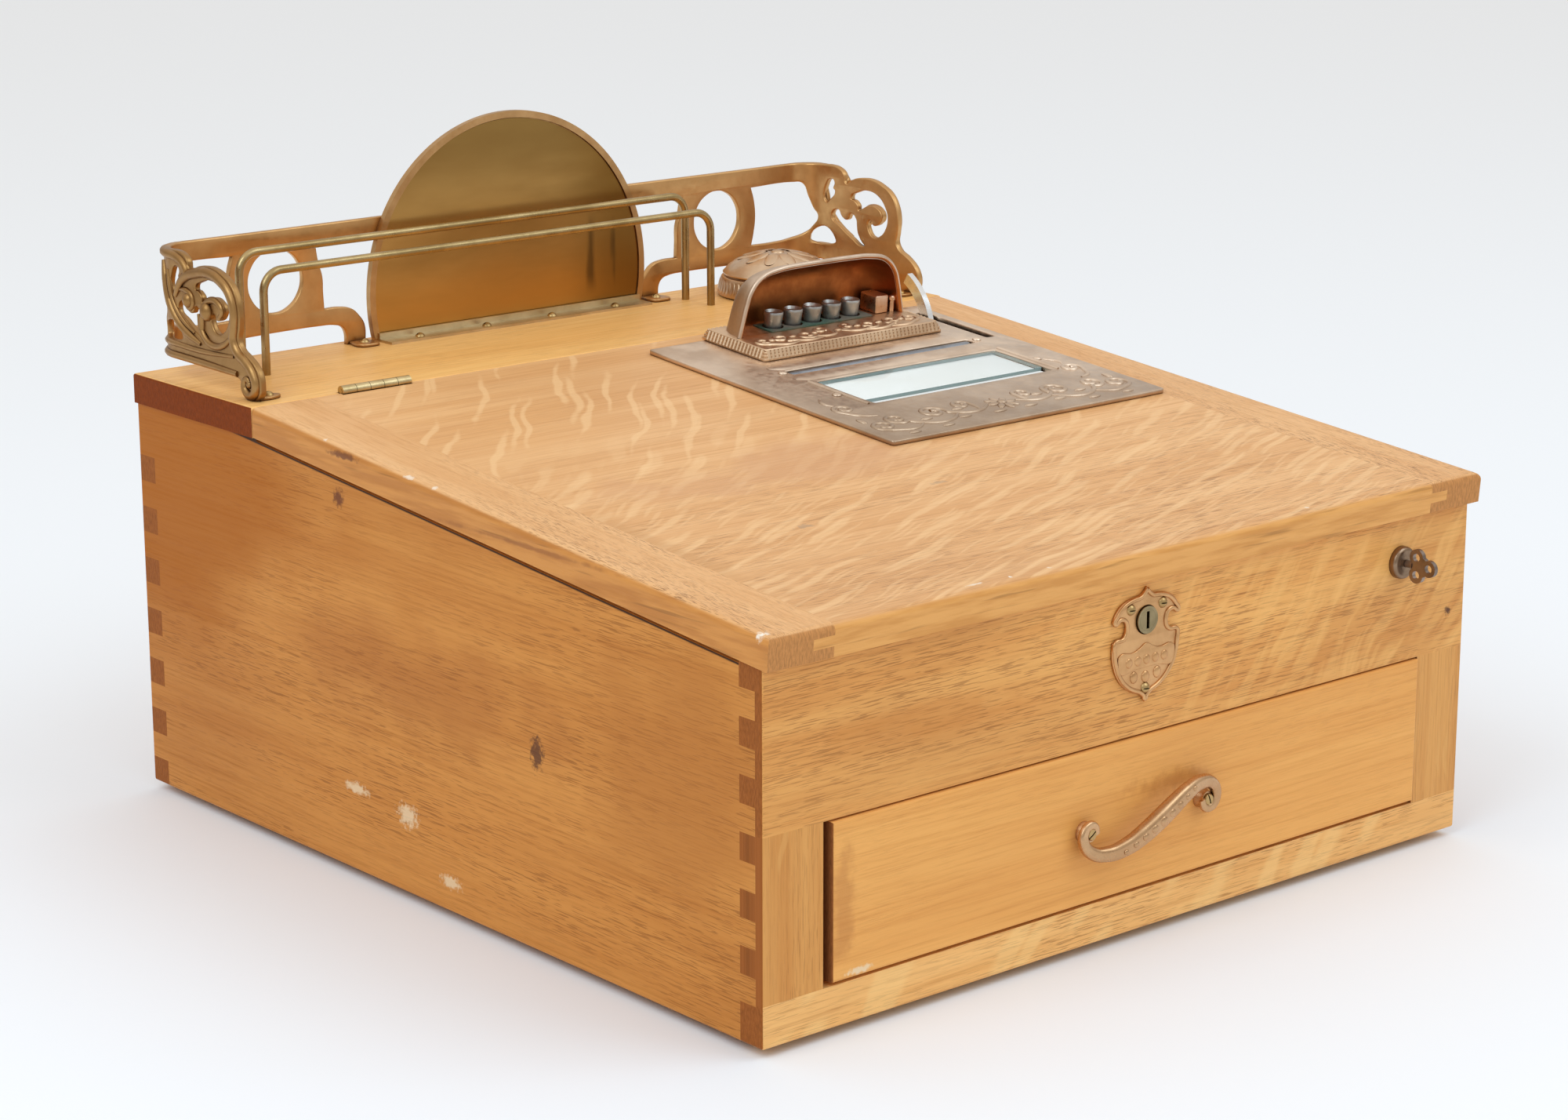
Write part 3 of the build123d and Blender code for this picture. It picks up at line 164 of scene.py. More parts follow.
def oak(
    name, along, pale, mid, dark, end_tone,
    flakes=(), pores=0.5, cloud=0.5, shift=0.0, marks=(), ends="", edge=None, pore_run=None, lip=None, gloss=0.22,
):
    material, tree, shader = new_finish(name)
    source = put(tree, "TexCoord")
    place = source.outputs["Object"]
    axes = put(tree, "SeparateXYZ", {"Vector": place}).outputs
    facing = put(tree, "SeparateXYZ", {"Vector": source.outputs["Normal"]}).outputs
    order = {"X": "XYZ", "Y": "YXZ", "Z": "ZXY"}[along]
    fibre = put(tree, "CombineXYZ", dict(zip("XYZ", (axes[key] for key in order)))).outputs[0]

    bands = grain_noise(tree, fibre, 46.0, (0.045, 1, 1), 4.0, shift, 0.6)
    threads = grain_noise(tree, fibre, 560.0, (0.02, 1, 1), 3.0, shift + 3, 0.65)
    drift = grain_noise(tree, fibre, 7.0, (0.5, 1, 1), 3.0, shift + 7, 0.55)
    vessels = grain_noise(tree, fibre, 1900.0, (0.04, 1, 1), 1.0, shift + 11)
    crowd = grain_noise(tree, fibre, 34.0, (0.16, 1, 1), 3.0, shift + 13)
    tone = tint(tree, ease(tree, bands, 0.34, 0.68), pale, mid)
    tone = tint(tree, ease(tree, threads, 0.42, 0.85, 0.0, 0.45), tone, dark)
    tone = tint(tree, ease(tree, drift, 0.42, 0.8, 0.0, cloud), tone, dark)
    pore = times(tree, ease(tree, vessels, 0.55, 0.63), ease(tree, crowd, 0.36, 0.62, 0.3, 1.0))
    if pore_run:
        reach = dot(tree, place, pore_run[0])
        pore = times(tree, pore, ease(tree, reach, pore_run[1], pore_run[2], 0.22, 1.0))
    tone = tint(tree, times(tree, pore, pores), tone, [0.62 * part for part in dark])

    for face, across, length, tilt, spacing, reach, thin, strength, span in flakes:
        run = dot(tree, place, length)
        lean = calc(tree, "MAXIMUM", calc(tree, "SUBTRACT", run, tilt[1]), 0.0)
        bend = calc(tree, "ADD", dot(tree, place, across), times(tree, run, tilt[0]))
        bend = calc(tree, "ADD", bend, times(tree, times(tree, lean, lean), tilt[2]))
        sway = grain_noise(tree, place, 17.0, (1, 1, 1), 1.5, shift + 17)
        bend = calc(tree, "MULTIPLY_ADD", sway, 0.034, bend)
        across_cell, along_cell = calc(tree, "DIVIDE", bend, spacing), calc(tree, "DIVIDE", run, reach)
        cell = put(tree, "CombineXYZ", {"X": across_cell, "Y": along_cell, "Z": shift}).outputs[0]
        spread = put(tree, "TexVoronoi", {"Vector": cell, "Scale": 1.0, "Randomness": 1.0}, voronoi_dimensions="2D")
        ragged = calc(tree, "MULTIPLY_ADD", grain_noise(tree, place, 70.0, (1, 1, 1), 1.5, shift), thin, thin * 0.5)
        streak = calc(tree, "SUBTRACT", ragged, spread.outputs["Distance"])
        ray = ease(tree, streak, -0.15 * thin, thin * 0.5, 0.0, strength)
        ray = times(tree, ray, ease(tree, calc(tree, "ABSOLUTE", facing[face]), 0.7, 0.9))
        if span:
            ray = times(tree, ray, ease(tree, run, span[0], span[1]))
        pale_ray = [min(1.0, part * gain) for part, gain in zip(pale, (1.08, 1.2, 1.34))]
        tone = tint(tree, ray, tone, pale_ray)

    if edge:
        fore = dot(tree, source.outputs["Normal"], edge[0])
        waves = grain_noise(tree, fibre, 210.0, (0.09, 1, 1), 3.0, shift + 29, 0.6)
        cracks = grain_noise(tree, fibre, 330.0, (0.05, 1, 1), 2.0, shift + 31, 0.6)
        amber = tint(tree, ease(tree, waves, 0.36, 0.66), edge[1], edge[2])
        amber = tint(tree, ease(tree, cracks, 0.6, 0.74, 0.0, 0.6), amber, [0.55 * part for part in edge[2]])
        tone = tint(tree, ease(tree, fore, 0.5, 0.85), tone, amber)

    for centre, radii, mark_tone, strength, grit in marks:
        near = spot_mask(tree, place, centre, radii, grit, shift + 19)
        tone = tint(tree, times(tree, near, strength), tone, mark_tone)

    # painted shade: darkens the side faces in a thin band just under the lid plane, for the shadow in the gap under the
    # lid
    if lip:
        rise = ease(tree, dot(tree, place, lip[0]), lip[1], lip[2])
        outside = ease(tree, calc(tree, "ABSOLUTE", facing["X"]), 0.7, 0.9)
        tone = tint(tree, times(tree, rise, outside), tone, lip[3])
    cut_end = ease(tree, calc(tree, "ABSOLUTE", facing[ends or along]), 0.55, 0.8)
    rings = grain_noise(tree, fibre, 1100.0, (0.0, 1, 0.25), 3.0, shift + 23, 0.6)
    soaked = tint(tree, ease(tree, rings, 0.35, 0.65), end_tone, [0.74 * part for part in end_tone])
    tone = tint(tree, cut_end, tone, soaked)
    tree.links.new(tone, shader.inputs["Base Color"])
    tree.links.new(ease(tree, threads, 0.3, 0.8, 0.36, 0.52), shader.inputs["Roughness"])
    tree.links.new(ease(tree, cut_end, 0.0, 1.0, gloss, 0.05), shader.inputs["Specular IOR Level"])
    relief = calc(tree, "MULTIPLY_ADD", pore, -1.0, times(tree, threads, 0.5))
    roughen(tree, shader, relief, 0.2, 0.0004)
    return material


def dress(names, material):
    for name in names:
        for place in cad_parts[name].material_slots:
            place.material = material


side_dark = (0.33, 0.096, 0.017)
finger_brown = (0.36, 0.112, 0.025)
scuff = (0.84, 0.64, 0.40)
side_marks = [
    ((-0.254, 0.020, 0.118), (0.02, 0.18, 0.06), (0.38, 0.12, 0.024), 0.4, 14.0),
    ((-0.254, -0.190, 0.120), (0.02, 0.09, 0.11), (0.47, 0.170, 0.034), 0.55, 12.0),
    ((-0.254, 0.235, 0.200), (0.02, 0.30, 0.14), (0.40, 0.112, 0.006), 0.8, 5.0),
    ((-0.254, 0.0844, 0.2116), (0.02, 0.008, 0.008), (0.16, 0.045, 0.016), 0.9, 300.0),
    ((-0.254, -0.0876, 0.1110), (0.02, 0.009, 0.014), (0.10, 0.035, 0.018), 0.85, 420.0),
    ((-0.254, 0.0761, 0.0521), (0.02, 0.016, 0.005), scuff, 0.75, 380.0),
    ((-0.254, 0.0285, 0.0486), (0.02, 0.014, 0.010), scuff, 0.75, 420.0),
    ((-0.254, -0.0096, 0.0216), (0.02, 0.014, 0.006), scuff, 0.75, 420.0),
]
lid_normal = (0, -0.08613, 0.99628)
# painted shade: plane and near-black tone of the band under the lid
lid_shadow = (lid_normal, 0.2124, 0.2132, (0.05, 0.018, 0.006))
side_oak = oak(
    "side_oak", "Y", (0.66, 0.278, 0.062), (0.585, 0.228, 0.046), side_dark, finger_brown,
    cloud=0.42, shift=2.0, marks=side_marks, lip=lid_shadow, gloss=0.1,
)
dress(["left_side", "right_side"], side_oak)
back_oak = oak(
    "back_oak", "X", (0.66, 0.29, 0.085), (0.54, 0.21, 0.053), side_dark, finger_brown, pores=0.45, shift=4.0
)
dress(["back_board"], back_oak)

# Front frame: two oak rails with the grain running level and two upright stiles around the drawer opening,
# in a brighter golden varnish, with the pale slanting flecks of quarter-sawn oak.
front_pale = (0.87, 0.445, 0.130)
front_mid = (0.76, 0.340, 0.086)
front_dark = (0.45, 0.160, 0.032)
straight = (0.0, 0.0, 0.0)
upper_span = (0.06, 0.24)
upper_flakes = [
    ("Y", (1, 0, -0.9), (0.9, 0, 1), straight, 0.017, 0.100, 0.42, 0.3, upper_span),
    ("Y", (1, 0, -0.75), (0.75, 0, 1), straight, 0.007, 0.050, 0.3, 0.2, upper_span),
]
lower_flakes = [("Y", (1, 0, -0.9), (0.9, 0, 1), straight, 0.028, 0.120, 0.34, 0.4, None)]
upper_marks = [
    ((0.240, -0.263, 0.133), (0.0034, 0.02, 0.0042), (0.13, 0.05, 0.02), 1.0, 500.0),
    ((-0.150, -0.263, 0.150), (0.10, 0.02, 0.012), (0.62, 0.25, 0.055), 0.5, 40.0),
]
upper_oak = oak(
    "upper_rail_oak", "X", front_pale, front_mid, front_dark, finger_brown, upper_flakes, 0.55, 0.46, 5.0, upper_marks
)
dress(["front_upper_rail"], upper_oak)
lower_oak = oak(
    "lower_rail_oak", "X", (0.96, 0.555, 0.200), (0.88, 0.455, 0.140), front_dark, finger_brown, lower_flakes,
    cloud=0.3, shift=6.0,
)
dress(["front_lower_rail"], lower_oak)
stile_flakes = [("Y", (1, 0, 0.06), (0, 0, 1), straight, 0.012, 0.10, 0.16, 0.3, None)]
stile_oak = oak(
    "stile_oak", "Z", (0.75, 0.37, 0.104), (0.65, 0.285, 0.070), front_dark, finger_brown, stile_flakes,
    pores=0.4, cloud=0.35, shift=8.0, ends="X",
)
dress(["front_left_stile", "front_right_stile"], stile_oak)

# Bottom, deck and battens inside the case: plain bare wood that was never varnished, set between the sides.
# The feet are four dark turned pads under the bottom.
bare_wood = oak(
    "bare_wood", "Y", (0.66, 0.45, 0.25), (0.55, 0.36, 0.19), (0.36, 0.21, 0.10), (0.34, 0.19, 0.09),
    pores=0.35, cloud=0.4, shift=9.0,
)
dress(["bottom_board", "deck_board", "inner_battens"], bare_wood)
foot_wood = oak(
    "foot_wood", "Z", (0.10, 0.055, 0.03), (0.07, 0.038, 0.02), (0.03, 0.016, 0.01), (0.06, 0.032, 0.018),
    pores=0.3, shift=10.0,
)
dress(["feet"], foot_wood)

# Fixed top board: one pale oak board right across the back, lying on the sides and the back board. Its ends are
# stained dark where the end grain shows.
top_oak = oak(
    "top_oak", "X", (0.98, 0.56, 0.190), (0.90, 0.47, 0.142), (0.58, 0.24, 0.060), (0.24, 0.046, 0.005),
    pores=0.3, cloud=0.25, shift=12.0,
)
dress(["top_board"], top_oak)


# Gallery: a pierced brass casting each side, running from the sign along the back, round a corner and forward
# as a scroll bracket. The scrolls stand in relief on the outer face; a tab at each end takes a screw.
def lone(piece):
    bpy.ops.object.select_all(action="DESELECT")
    piece.select_set(True)
    bpy.context.view_layer.objects.active = piece
    return piece


seam = 0.00001


def clean(piece, merge=True):
    lone(piece)
    bpy.ops.object.mode_set(mode="EDIT")
    bpy.ops.mesh.select_all(action="SELECT")
    if merge:
        bpy.ops.mesh.remove_doubles(threshold=seam)
    bpy.ops.mesh.normals_make_consistent(inside=False)
    bpy.ops.object.mode_set(mode="OBJECT")
    return piece


def new_line(paths, closed, **settings):
    line = bpy.data.curves.new("line", "CURVE")
    for key, value in settings.items():
        setattr(line, key, value)
    for path in paths:
        spline = line.splines.new("BEZIER")
        spline.bezier_points.add(len(path) - 1)
        spline.use_cyclic_u = closed
        for knot, (x, y, z, size, handle) in zip(spline.bezier_points, path):
            knot.co = (x / 1000, y / 1000, z / 1000)
            knot.radius = size
            knot.handle_left_type = knot.handle_right_type = handle
    return line


def as_mesh(line):
    piece = bpy.data.objects.new("line", line)
    bpy.context.collection.objects.link(piece)
    lone(piece)
    bpy.ops.object.convert(target="MESH")
    return clean(piece)


def cast_plate(loops, thick, edge, level=0.0):
    paths = [[(x, y, 0, 1, "VECTOR" if corner else "AUTO") for x, y, *corner in loop] for loop in loops]
    line = new_line(
        paths, True, dimensions="2D", fill_mode="BOTH", extrude=(thick / 2 - edge) / 1000,
        bevel_depth=edge / 1000, offset=-edge / 1000, bevel_resolution=2, resolution_u=6,
    )
    piece = as_mesh(line)
    piece.data.transform(Matrix.Translation((0, 0, level / 1000)))
    return piece


def rib(knots, radius, level, flat=1.0):
    path = [(x, y, 0, share[0] if share else 1, "AUTO") for x, y, *share in knots]
    line = new_line(
        [path], False, dimensions="3D", bevel_depth=radius / 1000, bevel_resolution=3, resolution_u=6,
        use_fill_caps=True,
    )
    piece = as_mesh(line)
    piece.data.transform(Matrix.Translation((0, 0, level / 1000)) @ Matrix.Diagonal((1, 1, flat, 1)))
    return piece


def knob(x, y, level, size):
    bpy.ops.mesh.primitive_uv_sphere_add(segments=20, ring_count=10, radius=0.001)
    piece = bpy.context.active_object
    piece.data.transform(Matrix.Translation(Vector((x, y, level)) / 1000) @ Matrix.Diagonal((*size, 1)))
    return piece


def curl(x, y, wide, tight, start, sweep, steps=12):
    turns = [math.radians(start + sweep * step / (steps - 1)) for step in range(steps)]
    sizes = [wide + (tight - wide) * step / (steps - 1) for step in range(steps)]
    return [(x + size * math.cos(turn), y + size * math.sin(turn)) for turn, size in zip(turns, sizes)]


def weld(parts):
    lone(parts[0])
    for part in parts:
        part.select_set(True)
    bpy.ops.object.join()
    return parts[0]


def fit(name, piece, place, body, finish, replaced, angle=40):
    lone(piece)
    piece.name = piece.data.name = name
    piece.data.transform(place)
    bpy.ops.object.shade_smooth_by_angle(angle=math.radians(angle))
    piece.data.materials.clear()
    piece.data.materials.append(finish)
    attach(piece, body)
    if replaced:
        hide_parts(*replaced)


def metal(name, bright, dull, rough, hollow=None, depth=0.003, bump=0.1, shift=0.0, bare=1.0, fade=None, crown=None):
    material, tree, shader = new_finish(name)
    source = put(tree, "TexCoord")
    place = source.outputs["Object"]
    cloud = grain_noise(tree, place, 34.0, (1, 1, 1), 4.0, shift, 0.62)
    speck = grain_noise(tree, place, 240.0, (1, 1, 1), 3.0, shift + 5, 0.6)
    tone = tint(tree, ease(tree, cloud, 0.36, 0.66), bright, dull)
    if fade:
        run = dot(tree, place, fade[0])
        tone = tint(tree, ease(tree, run, fade[1], fade[2]), tone, fade[3], "MULTIPLY")
    # crown: upward faces tinted towards the given tone, which the keys use as painted shade
    if crown:
        upward = put(tree, "SeparateXYZ", {"Vector": source.outputs["Normal"]}).outputs["Z"]
        tone = tint(tree, ease(tree, upward, 0.88, 0.97), tone, crown)
    if hollow:
        open_share = put(tree, "AmbientOcclusion", {"Distance": depth}, samples=8).outputs["AO"]
        tone = tint(tree, ease(tree, open_share, 0.3, 0.85), hollow, tone)
    tree.links.new(tone, shader.inputs["Base Color"])
    shader.inputs["Metallic"].default_value = bare
    tree.links.new(ease(tree, speck, 0.3, 0.72, rough - 0.07, rough + 0.08), shader.inputs["Roughness"])
    roughen(tree, shader, speck, bump, 0.0006)
    return material


board_top = 247.5
corner_x, corner_y, corner_radius = -0.225, 0.26015, 0.018
quarter_turn = corner_radius * math.pi / 2
corner_cuts = 9


def wrap_round_corner(piece, hand):
    for vertex in piece.data.vertices:
        run, rise, out = vertex.co
        reach, turn = corner_radius + out, min(max(run / corner_radius, 0.0), math.pi / 2)
        x = corner_x - min(run, 0.0) - reach * math.sin(turn)
        y = corner_y + reach * math.cos(turn) - max(run - quarter_turn, 0.0)
        vertex.co = (hand * x, y, board_top / 1000 + rise)


gallery_edge = [
    (-139, 73.5, 1), (-139, 60.5, 1), (-88, 60.6, 1), (-89.5, 51.4), (-92, 42.6), (-92.2, 33.5), (-92.7, 23.2, 1),
    (-104, 23), (-112, 21), (-117, 16.5), (-120.5, 11), (-121, 0, 1), (-107.5, 0, 1), (-107, 7.5), (-104.5, 11),
    (-100, 12.6), (-88, 13.4), (-28, 12.6), (28, 11.8), (60, 11.2), (94, 10.6), (98, 8.5), (99, 4), (104, 0.2),
    (112, 0.1), (117.2, 3.5), (117.9, 8.5), (116.9, 14.8), (113.3, 19.5), (105.3, 24.4), (99.6, 27.2),
    (96.7, 31.7), (98, 38.4), (98.5, 46.3), (96.5, 55), (91.6, 61.7), (83.9, 66), (74.3, 68.8), (64.3, 68.8),
    (54.7, 66.6), (51, 63.5), (48.3, 64), (46.8, 69.6), (41.3, 73), (33.3, 74), (28, 73.7), (0, 73.5),
]
gallery_holes = [
    curl(-59.5, 43.6, 18.6, 18.6, 0, 330, 12),
    [(-31, 61.3, 1), (4, 61.5), (11, 60.5), (15, 52), (18.5, 44.7), (22, 39.4), (18, 33), (13, 28.6), (3, 25.2),
     (-11, 24), (-31, 24.1, 1), (-29, 31.8), (-27.5, 42.3), (-28.5, 52.9)],
    [(27.6, 33.6), (16.4, 24.6), (18.8, 22.8), (38.3, 24.3), (38.7, 25.7)],
    [(33.9, 65), (30, 61.8), (29.3, 49.8), (34, 52.3), (37.9, 57.4), (36.3, 59.2), (37.5, 62.6), (36.5, 64.5)],
    [(35, 41.2), (41, 46), (44.9, 41.7), (49.9, 40.3), (53.8, 44.8), (57.8, 42.6), (60.8, 33.8), (66.7, 26.3),
     (63.8, 25.2), (54.9, 29), (43, 35.5)],
    [(53.8, 54.6), (60.6, 59.4), (70.3, 61.2), (80.1, 58.4), (85.9, 52.6), (88.3, 46.3), (86, 38.2), (81.3, 33.7),
     (75.3, 32.3), (70.9, 35.7), (70.1, 41.5), (73.3, 42.6), (74.3, 40), (78.3, 40), (82.1, 43), (83.1, 47),
     (79.3, 51), (72.3, 52.3), (64.6, 49.4), (61.1, 47.6), (60.3, 50.8), (56.7, 53.7)],
]
gallery_ribs = [
    ([(33, 48, 0.5), (38, 55, 0.8), (45, 60.5), (55.3, 63.6), (68.3, 65.4), (81.3, 62.6), (90, 56.5), (94, 47),
      (93.2, 38), (92.4, 31), (96.3, 24.8), (104.3, 20.6), (111, 15.2), (113.6, 8.2), (110.3, 3.2, 0.95),
      (104.6, 3.4, 0.9), (101.9, 8.2, 0.8), (104.6, 11.4, 0.65), (107.2, 9.6, 0.5)], 3.1),
    ([(19, 66, 0.7), (22.6, 56), (25.4, 47), (29.8, 39.5, 1.1), (37.5, 32.5, 1.1), (47, 27.8), (58, 24, 0.5)], 2.5),
    ([(25.5, 62, 0.6), (27.2, 54), (29.4, 46.5), (33.6, 40.5), (41, 34.6), (52, 29.4, 0.6)], 1.5),
    ([(-14, 70.6, 0.8), (8, 70.9), (26, 71), (37, 70), (43.8, 66.6), (46, 62.4), (42.8, 59.6, 0.7)], 2.7),
    ([(60.2, 33), (61.6, 41), (64.8, 47.6), (71, 50.6), (78, 49.6), (81.4, 45.6, 0.9), (78.6, 41.8, 0.7)], 2.1),
    ([(57, 41, 0.6), (59.5, 33), (65, 27), (73, 25), (82, 27), (89.5, 32, 0.7)], 2.1),
    ([(38.5, 52.5, 0.6), (45, 52.6), (50.6, 49.6), (51, 45, 0.9), (46.6, 43, 0.8), (43.6, 46.4, 0.6)], 1.9),
    ([(-84, 15.2), (-28, 14.6), (0, 14.2), (28, 14), (62, 13.6), (95, 12.8, 0.8)], 2.3),
    ([(-88, 21.2), (-28, 20.8), (0, 20.6), (28, 20.6), (60, 20.2), (92, 22, 0.6)], 1.8),
]
gallery_tabs = [
    [(-103.6, 263.4), (-110, 261.8), (-116.2, 263.4), (-116.2, 277, 1), (-103.6, 277, 1)],
    [(-243, 175, 1), (-233, 175), (-227.6, 179.6), (-233, 184.3), (-243, 184.3, 1)],
]
# painted shade: the fade darkens the left bracket's outward face and scrolls, a shaded copy of the same brass
gallery_brass = metal(
    "gallery_brass", (0.65, 0.37, 0.150), (0.55, 0.30, 0.113), 0.38, (0.11, 0.048, 0.018), 0.005,
    bump=0.02, shift=21.0, fade=((-1, 0, 0), 0.236, 0.2435, (0.62, 0.60, 0.54)),
)
for hand, node in ((1, "gallery_left"), (-1, "gallery_right")):
    plate = lone(cast_plate([gallery_edge, *gallery_holes], 4.0, 0.9, 0.5))
    bpy.ops.object.mode_set(mode="EDIT")
    for cut in range(corner_cuts + 1):
        bpy.ops.mesh.select_all(action="SELECT")
        bpy.ops.mesh.bisect(plane_co=(quarter_turn * cut / corner_cuts, 0, 0), plane_no=(1, 0, 0))
    bpy.ops.object.mode_set(mode="OBJECT")
    scrolls = [rib(path, radius, 2.2) for path, radius in gallery_ribs]
    scrolls += [
        knob(47.2, 47.4, 2.4, (4.2, 4.4, 3.8)),
        knob(66.2, 43.6, 2.4, (4.8, 5.6, 4.2)),
        knob(106.6, 8.6, 1.8, (2.4, 2.4, 2.4)),
    ]
    casting = weld([plate, *scrolls])
    wrap_round_corner(casting, hand)
    tabs = [cast_plate([loop], 2.0, 0.6, board_top + 1) for loop in gallery_tabs]
    for tab in tabs:
        tab.data.transform(Matrix.Diagonal((hand, 1, 1, 1)))
    casting = clean(weld([casting, *tabs]), merge=False)
    fit(node + "_casting", casting, Matrix(), "case", gallery_brass, [node])

# Sign: a round brass sheet held in a copper rim, standing on a folded strip with four round-headed screws.
# The sheet has gone olive and carries two dark runs at the right that fade out towards its foot.
sign_face, tree, shader = new_finish("sign_sheet")
place = put(tree, "TexCoord").outputs["Object"]
sheet_axes = put(tree, "SeparateXYZ", {"Vector": place}).outputs
brushed = grain_noise(tree, place, 26.0, (0.25, 1, 1), 4.0, 31.0, 0.6)
tone = tint(tree, ease(tree, brushed, 0.32, 0.7), (0.55, 0.325, 0.102), (0.39, 0.222, 0.065))
# painted reflection: warmer and brighter towards the foot, standing in for the oak top board reflected in the sheet;
# then darker towards the top and towards the right
tone = tint(tree, ease(tree, sheet_axes["Z"], 0.262, 0.30, 0.65, 0.0), tone, (0.60, 0.30, 0.065))
tone = tint(tree, ease(tree, sheet_axes["Z"], 0.31, 0.36, 0.0, 0.9), tone, (0.27, 0.155, 0.044))
tone = tint(tree, ease(tree, sheet_axes["X"], 0.03, 0.085, 0.0, 0.8), tone, (0.22, 0.105, 0.019))
for run_x, run_width, run_top in ((0.062, 0.0045, 0.292), (0.080, 0.003, 0.288)):
    beside = calc(tree, "ABSOLUTE", calc(tree, "SUBTRACT", sheet_axes["X"], run_x))
    wobble = grain_noise(tree, place, 120.0, (1, 1, 0.2), 2.0, 33.0)
    stripe = ease(tree, calc(tree, "MULTIPLY_ADD", wobble, 0.008, beside), run_width + 0.004, run_width)
    stripe = times(tree, stripe, ease(tree, sheet_axes["Z"], run_top + 0.02, run_top))
    stripe = times(tree, stripe, ease(tree, sheet_axes["Z"], 0.254, 0.270))
    tone = tint(tree, times(tree, stripe, 0.7), tone, (0.09, 0.052, 0.018))
tree.links.new(tone, shader.inputs["Base Color"])
shader.inputs["Metallic"].default_value = 1.0
tree.links.new(ease(tree, brushed, 0.3, 0.7, 0.30, 0.46), shader.inputs["Roughness"])
roughen(tree, shader, grain_noise(tree, place, 14.0, (1, 1, 1), 3.0, 35.0), 0.1, 0.004)
dress(["sign_face"], sign_face)
rim_copper = metal("rim_copper", (0.58, 0.35, 0.155), (0.46, 0.26, 0.105), 0.4, shift=36.0)
dress(["sign_backing"], rim_copper)
strip_brass = metal("strip_brass", (0.72, 0.60, 0.40), (0.58, 0.46, 0.28), 0.38, shift=38.0)
dress(["sign_foot_strip"], strip_brass)
screw_brass = metal("screw_brass", (0.55, 0.37, 0.16), (0.36, 0.22, 0.08), 0.34, (0.05, 0.03, 0.012), 0.0012)
dress(["brass_screws"], screw_brass)

# Wire rails: two lengths of round brass wire, bent square at each end and stood in holes in the top board,
# so that letters lean between them. They have gone a dull brown.
wire_bronze = metal("wire_bronze", (0.47, 0.335, 0.155), (0.34, 0.23, 0.095), 0.32, bump=0.04, shift=40.0)
dress(["wire_rail_front", "wire_rail_back"], wire_bronze)


# Bell: a stamped bronze dome in two tiers, with a flower of petals on its crown and a fluted skirt. It stands on the
# stud of a black iron base, and a small iron hammer swings under it.
def turned(profile, steps=48):
    bpy.ops.mesh.primitive_plane_add(size=0.001, calc_uvs=False)
    piece = bpy.context.active_object
    points = [Vector((radius, 0, height)) / 1000 for radius, height in profile]
    bpy.ops.object.mode_set(mode="EDIT")
    bpy.ops.mesh.merge(type="CENTER")
    bpy.ops.transform.translate(value=points[0])
    for last, point in zip(points, points[1:]):
        bpy.ops.mesh.extrude_vertices_move(TRANSFORM_OT_translate={"value": point - last})
    bpy.ops.object.mode_set(mode="OBJECT")
    spin = piece.modifiers.new("spin", "SCREW")
    spin.steps = spin.render_steps = steps
    spin.use_merge_vertices = True
    spin.merge_threshold = seam
    bpy.ops.object.modifier_apply(modifier="spin")
    return clean(piece)


def ring(count, size, out, level, lean):
    leaves = [knob(0, 0, 0, size) for step in range(count)]
    tip = Matrix.Translation((out / 1000, 0, level / 1000)) @ Matrix.Rotation(math.radians(lean), 4, "Y")
    for step, leaf in enumerate(leaves):
        leaf.data.transform(Matrix.Rotation(math.tau * step / count, 4, "Z") @ tip)
    return leaves


bell_profile = [
    (36.2, 1.2), (37.8, 1.0), (38, 2.2), (37.4, 5.2), (36.4, 9), (35.8, 11.4), (35, 12.3), (33.4, 12.6), (33, 13.2),
    (34.4, 13.8), (34.6, 14.6), (33.6, 15.6), (31.4, 18.2), (27, 21.4), (20, 24.2), (11, 26.1), (4, 26.5), (0, 26.5),
    (0, 24.9), (10, 24.5), (19, 22.6), (25, 19.8), (29, 16.4), (31, 13.4), (32, 11.6), (34.2, 8), (35.6, 4),
    (36.2, 1.2),
]
bell_parts = [turned(bell_profile, 64), *ring(10, (9.5, 4.3, 0.9), 16.5, 24.7, 14)]
bell_parts += [knob(0, 0, 26.3, (4.4, 4.4, 1.7)), *ring(56, (0.8, 1.9, 4.6), 36.7, 6.6, -14)]
bell_bronze = metal(
    "bell_bronze", (0.71, 0.51, 0.335), (0.59, 0.40, 0.245), 0.36, (0.44, 0.28, 0.16), 0.0016, bump=0.03, shift=44.0
)
bell_place = Matrix.Translation((0.182, 0.23715, board_top / 1000))
fit("bell_shell", weld(bell_parts), bell_place, "case", bell_bronze, ["bell_dome"])
black_iron = metal("black_iron", (0.10, 0.095, 0.09), (0.05, 0.046, 0.042), 0.5, shift=46.0, bump=0.3)
dress(["bell_base", "bell_hammer", "mechanism_frame"], black_iron)

# Writing lid: a quarter-sawn oak panel with the grain running level and long wavy pale flecks lying across it,
# tongued at both ends into cleats whose grain runs down the slope. It hangs on two brass butt hinges.
lid_pale = (0.83, 0.465, 0.200)
lid_mid = (0.75, 0.385, 0.148)
lid_dark = (0.46, 0.190, 0.062)
hinge_line = 0.16515
lid_lean = (0.8, 0.15 - hinge_line, 4.0)
lid_flakes = [
    ("Z", (1, 0, 0), (0, -1, 0), lid_lean, 0.0130, 0.165, 0.235, 0.6, (0.27 - hinge_line, 0.15 - hinge_line)),
    ("Z", (1, 0, 0), (0, -1, 0), lid_lean, 0.0240, 0.060, 0.28, 0.5, (0.12 - hinge_line, 0.22 - hinge_line)),
    ("Z", (1, 0, 0), (0, -1, 0), lid_lean, 0.0110, 0.035, 0.24, 0.35, (0.14 - hinge_line, 0.26 - hinge_line)),
]
chip = (0.93, 0.84, 0.70)
